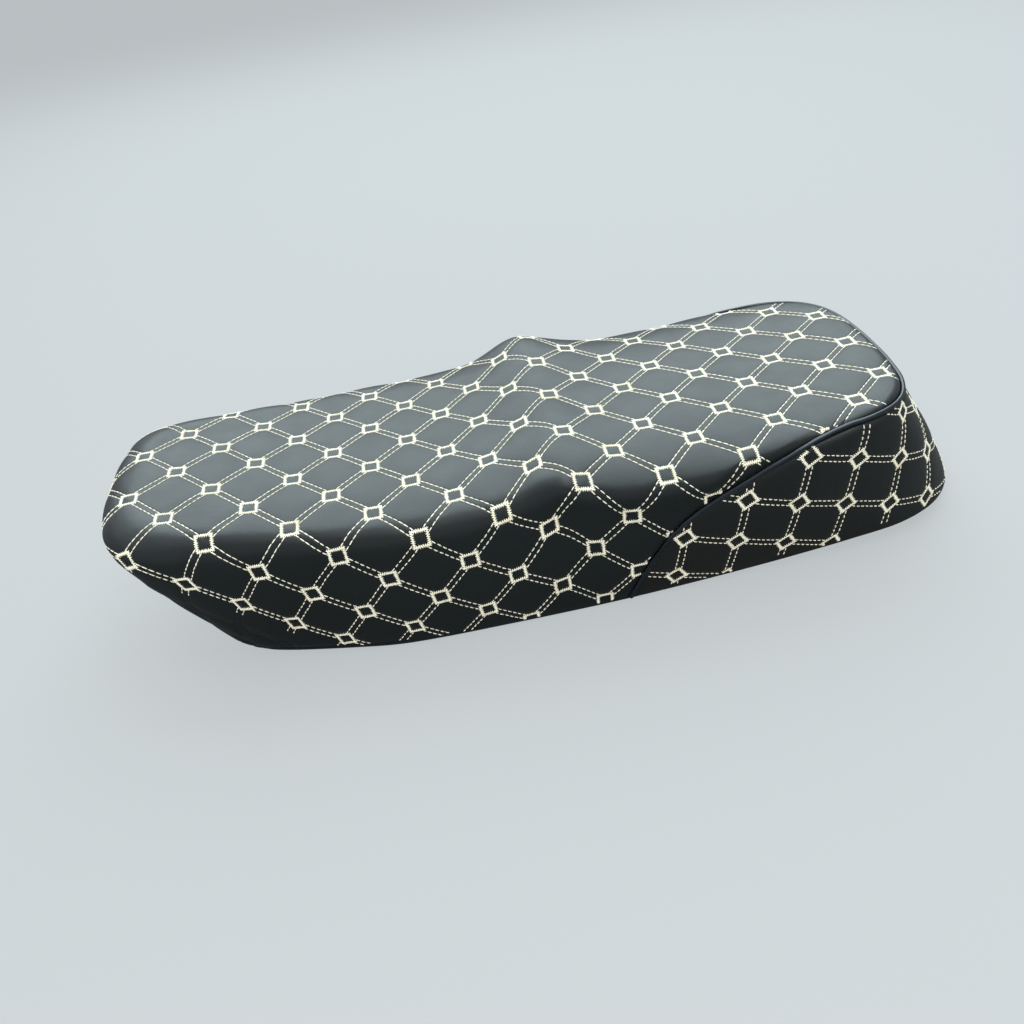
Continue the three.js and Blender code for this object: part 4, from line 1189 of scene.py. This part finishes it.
# ------------------------------------------------------------------ the foam
def foam_block():
    """The moulded foam with a shallow channel under the sewn seam and a slightly uneven skin."""
    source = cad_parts["foam_cushion"]
    bm = bmesh.new()
    bm.from_mesh(source.data)
    bm.transform(source.matrix_world)
    bmesh.ops.remove_doubles(bm, verts=bm.verts, dist=1e-6)
    bmesh.ops.subdivide_edges(bm, edges=bm.edges[:], cuts=1, use_grid_fill=True)
    bmesh.ops.triangulate(bm, faces=bm.faces[:])
    bm.normal_update()
    for vert in bm.verts:
        point = np.array(vert.co) * 1000
        x, y, z = point
        _, k, gap = seam_tree.find(point)
        dip = 2.9 * np.exp(-(max(0.0, gap - 5.0) / 9.0) ** 2) * ramp01((z - 12) / 10)
        wave = np.sin(x / 7 + 2 * np.sin(y / 9)) * np.sin(y / 8 + z / 6)
        skin = ramp01((z - 30) / 12) * (0.30 + 0.10 * wave)
        vert.co = Vector((point - SEAM_NORMALS[k] * dip - np.array(vert.normal) * skin) / 1000)
    mesh = bpy.data.meshes.new("foam_block")
    bm.to_mesh(mesh)
    bm.free()
    mesh.materials.clear()               # also resets the material numbers of the faces
    mesh.materials.append(FOAM)
    piece = bpy.data.objects.new("foam_block", mesh)
    bpy.context.scene.collection.objects.link(piece)
    return piece


register(foam_block(), replaces="foam_cushion")


# ------------------------------------------------------------------ staples
def staples():
    """The row of staples on the inner face of the hem, both sides."""
    line = np.array([
        wall_point(i, HEM_DEPTH, BOTTOM[i] + STAPLE_RISE) for i in range(COUNT)])
    length = run_length(line)
    starts, ends, facing = [], [], []
    for side in (1, -1):
        for at in np.arange(11.0, length[-1] - 4, STAPLE_PITCH):
            jitter = rng.normal(0, 1.2)
            tilt = rng.normal(0, 0.5)
            inward = 0
            for offset, dz, tips in ((-STAPLE_HALF, tilt, starts), (STAPLE_HALF, -tilt, ends)):
                i = np.searchsorted(length, at + jitter + offset)
                i = int(np.clip(i, 1, COUNT - 2))
                z = BOTTOM[i] + STAPLE_RISE
                tips.append(wall_point(i, HEM_DEPTH + 0.42, z + dz) * [1, side, 1])
                inward = inward + (wall_point(i, HEM_DEPTH + 1, z) - line[i]) * [1, side, 1]
            facing.append(inward)
    return threads(np.array(starts), np.array(ends), np.array(facing),
                   width=0.95, height=0.55, sink=0.35, rings=7)


register(mesh_object("hem_staples", *staples(), STAPLE))


# ------------------------------------------------------------------ CAD pieces that show as they are
def cad_material(name):
    if name.startswith("buffer"):
        return RUBBER
    if name.endswith(("_bolt", "_nut", "_washer")):
        return ZINC
    if name == "base_pan":
        return PAN
    if name.startswith(("front_hook", "rear_bracket")):
        return STEEL
    return None


for name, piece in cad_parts.items():
    material = cad_material(name)
    if material:
        if not piece.material_slots:
            piece.data.materials.append(material)
        for slot in piece.material_slots:
            slot.material = material

# ------------------------------------------------------------------ stage, light and camera (m)
scene = bpy.context.scene
FLOOR_HALF, FLOOR_Z = 9, -0.0004
BACKDROP = (0.80, 0.86, 0.88, 1)         # colour of floor and world as the camera sees them


def split_for_camera(nodes, others, camera, output):
    """Shows one shader to the camera and another to all other rays."""
    is_camera = nodes.node("ShaderNodeLightPath").outputs["Is Camera Ray"]
    mix = nodes.node("ShaderNodeMixShader", {
        0: is_camera, 1: others.outputs[0], 2: camera.outputs[0]})
    nodes.set(nodes.tree.nodes[output], {"Surface": mix.outputs[0]})


def floor():
    material, nodes = new_material("floor_pale")
    nodes.shade({
        "Base Color": (0.13, 0.13, 0.13, 1), "Roughness": 0.9, "Specular IOR Level": 0.05,
        "Emission Color": BACKDROP, "Emission Strength": 0.54})
    dark = nodes.node("ShaderNodeBsdfDiffuse", {"Color": (0.10, 0.105, 0.11, 1)})
    split_for_camera(nodes, dark, nodes.tree.nodes["Principled BSDF"], "Material Output")
    corners = [(x * FLOOR_HALF, y * FLOOR_HALF, FLOOR_Z)
               for x, y in ((-1, -1), (1, -1), (1, 1), (-1, 1))]
    mesh = bpy.data.meshes.new("floor")
    mesh.from_pydata(corners, [], [(0, 1, 2, 3)])
    mesh.materials.append(material)
    piece = bpy.data.objects.new("floor", mesh)
    scene.collection.objects.link(piece)


def world_light():
    world = bpy.data.worlds.new("world")
    scene.world = world
    world.use_nodes = True
    nodes = Nodes(world.node_tree)
    lit = world.node_tree.nodes["Background"]
    nodes.set(lit, {"Color": (0.80, 0.84, 0.90, 1), "Strength": 0.47})
    seen = nodes.node("ShaderNodeBackground", {"Color": BACKDROP, "Strength": 0.612})
    split_for_camera(nodes, lit, seen, "World Output")


def area(name, at, look, size, power, color):
    light = bpy.data.lights.new(name, "AREA")
    light.shape = "RECTANGLE"
    light.size, light.size_y = size
    light.energy = power
    light.color = color
    lamp = bpy.data.objects.new(name, light)
    scene.collection.objects.link(lamp)
    lamp.location = at
    lamp.rotation_euler = (Vector(look) - Vector(at)).to_track_quat("-Z", "Y").to_euler()
    return lamp


def camera():
    data = bpy.data.cameras.new("camera")
    data.sensor_width = 36
    data.lens = 33.3984375
    data.clip_start, data.clip_end = 0.02, 50
    piece = bpy.data.objects.new("camera", data)
    scene.collection.objects.link(piece)
    place = (0.05632, 0.70362, 0.54099)
    right = Vector((-0.97965, 0.13805, -0.14567)).normalized()
    forward = Vector((-0.02732, -0.81081, -0.58468)).normalized()
    right = (right - right.dot(forward) * forward).normalized()
    upward = right.cross(forward)
    matrix = Matrix.Identity(4)
    for k in range(3):
        matrix[k][:] = right[k], upward[k], -forward[k], place[k]
    piece.matrix_world = matrix
    scene.camera = piece


floor()
world_light()
area("sky_panel", at=(-0.18, -1.78, 1.98), look=(-0.05, 0, 0.1), size=(3.6, 2.6), power=95,
     color=(0.80, 0.96, 1.0))
area("overhead", at=(0.1, 0.2, 2.2), look=(0, 0, 0.1), size=(2.4, 2.0), power=11,
     color=(0.95, 0.97, 1.0))
area("rear_softbox", at=(-0.82, 0.22, 1.9), look=(-0.82, 0.22, 0), size=(1.1, 1.7), power=16,
     color=(0.80, 0.96, 1.0))
fill = area("front_fill", at=(0.5, 2.4, 1.1), look=(0, 0, 0.05), size=(2.6, 1.6), power=60,
            color=(1.0, 0.99, 0.96))
fill.visible_glossy = False
camera()
scene.view_settings.view_transform = "Standard"
scene.view_settings.look = "None"
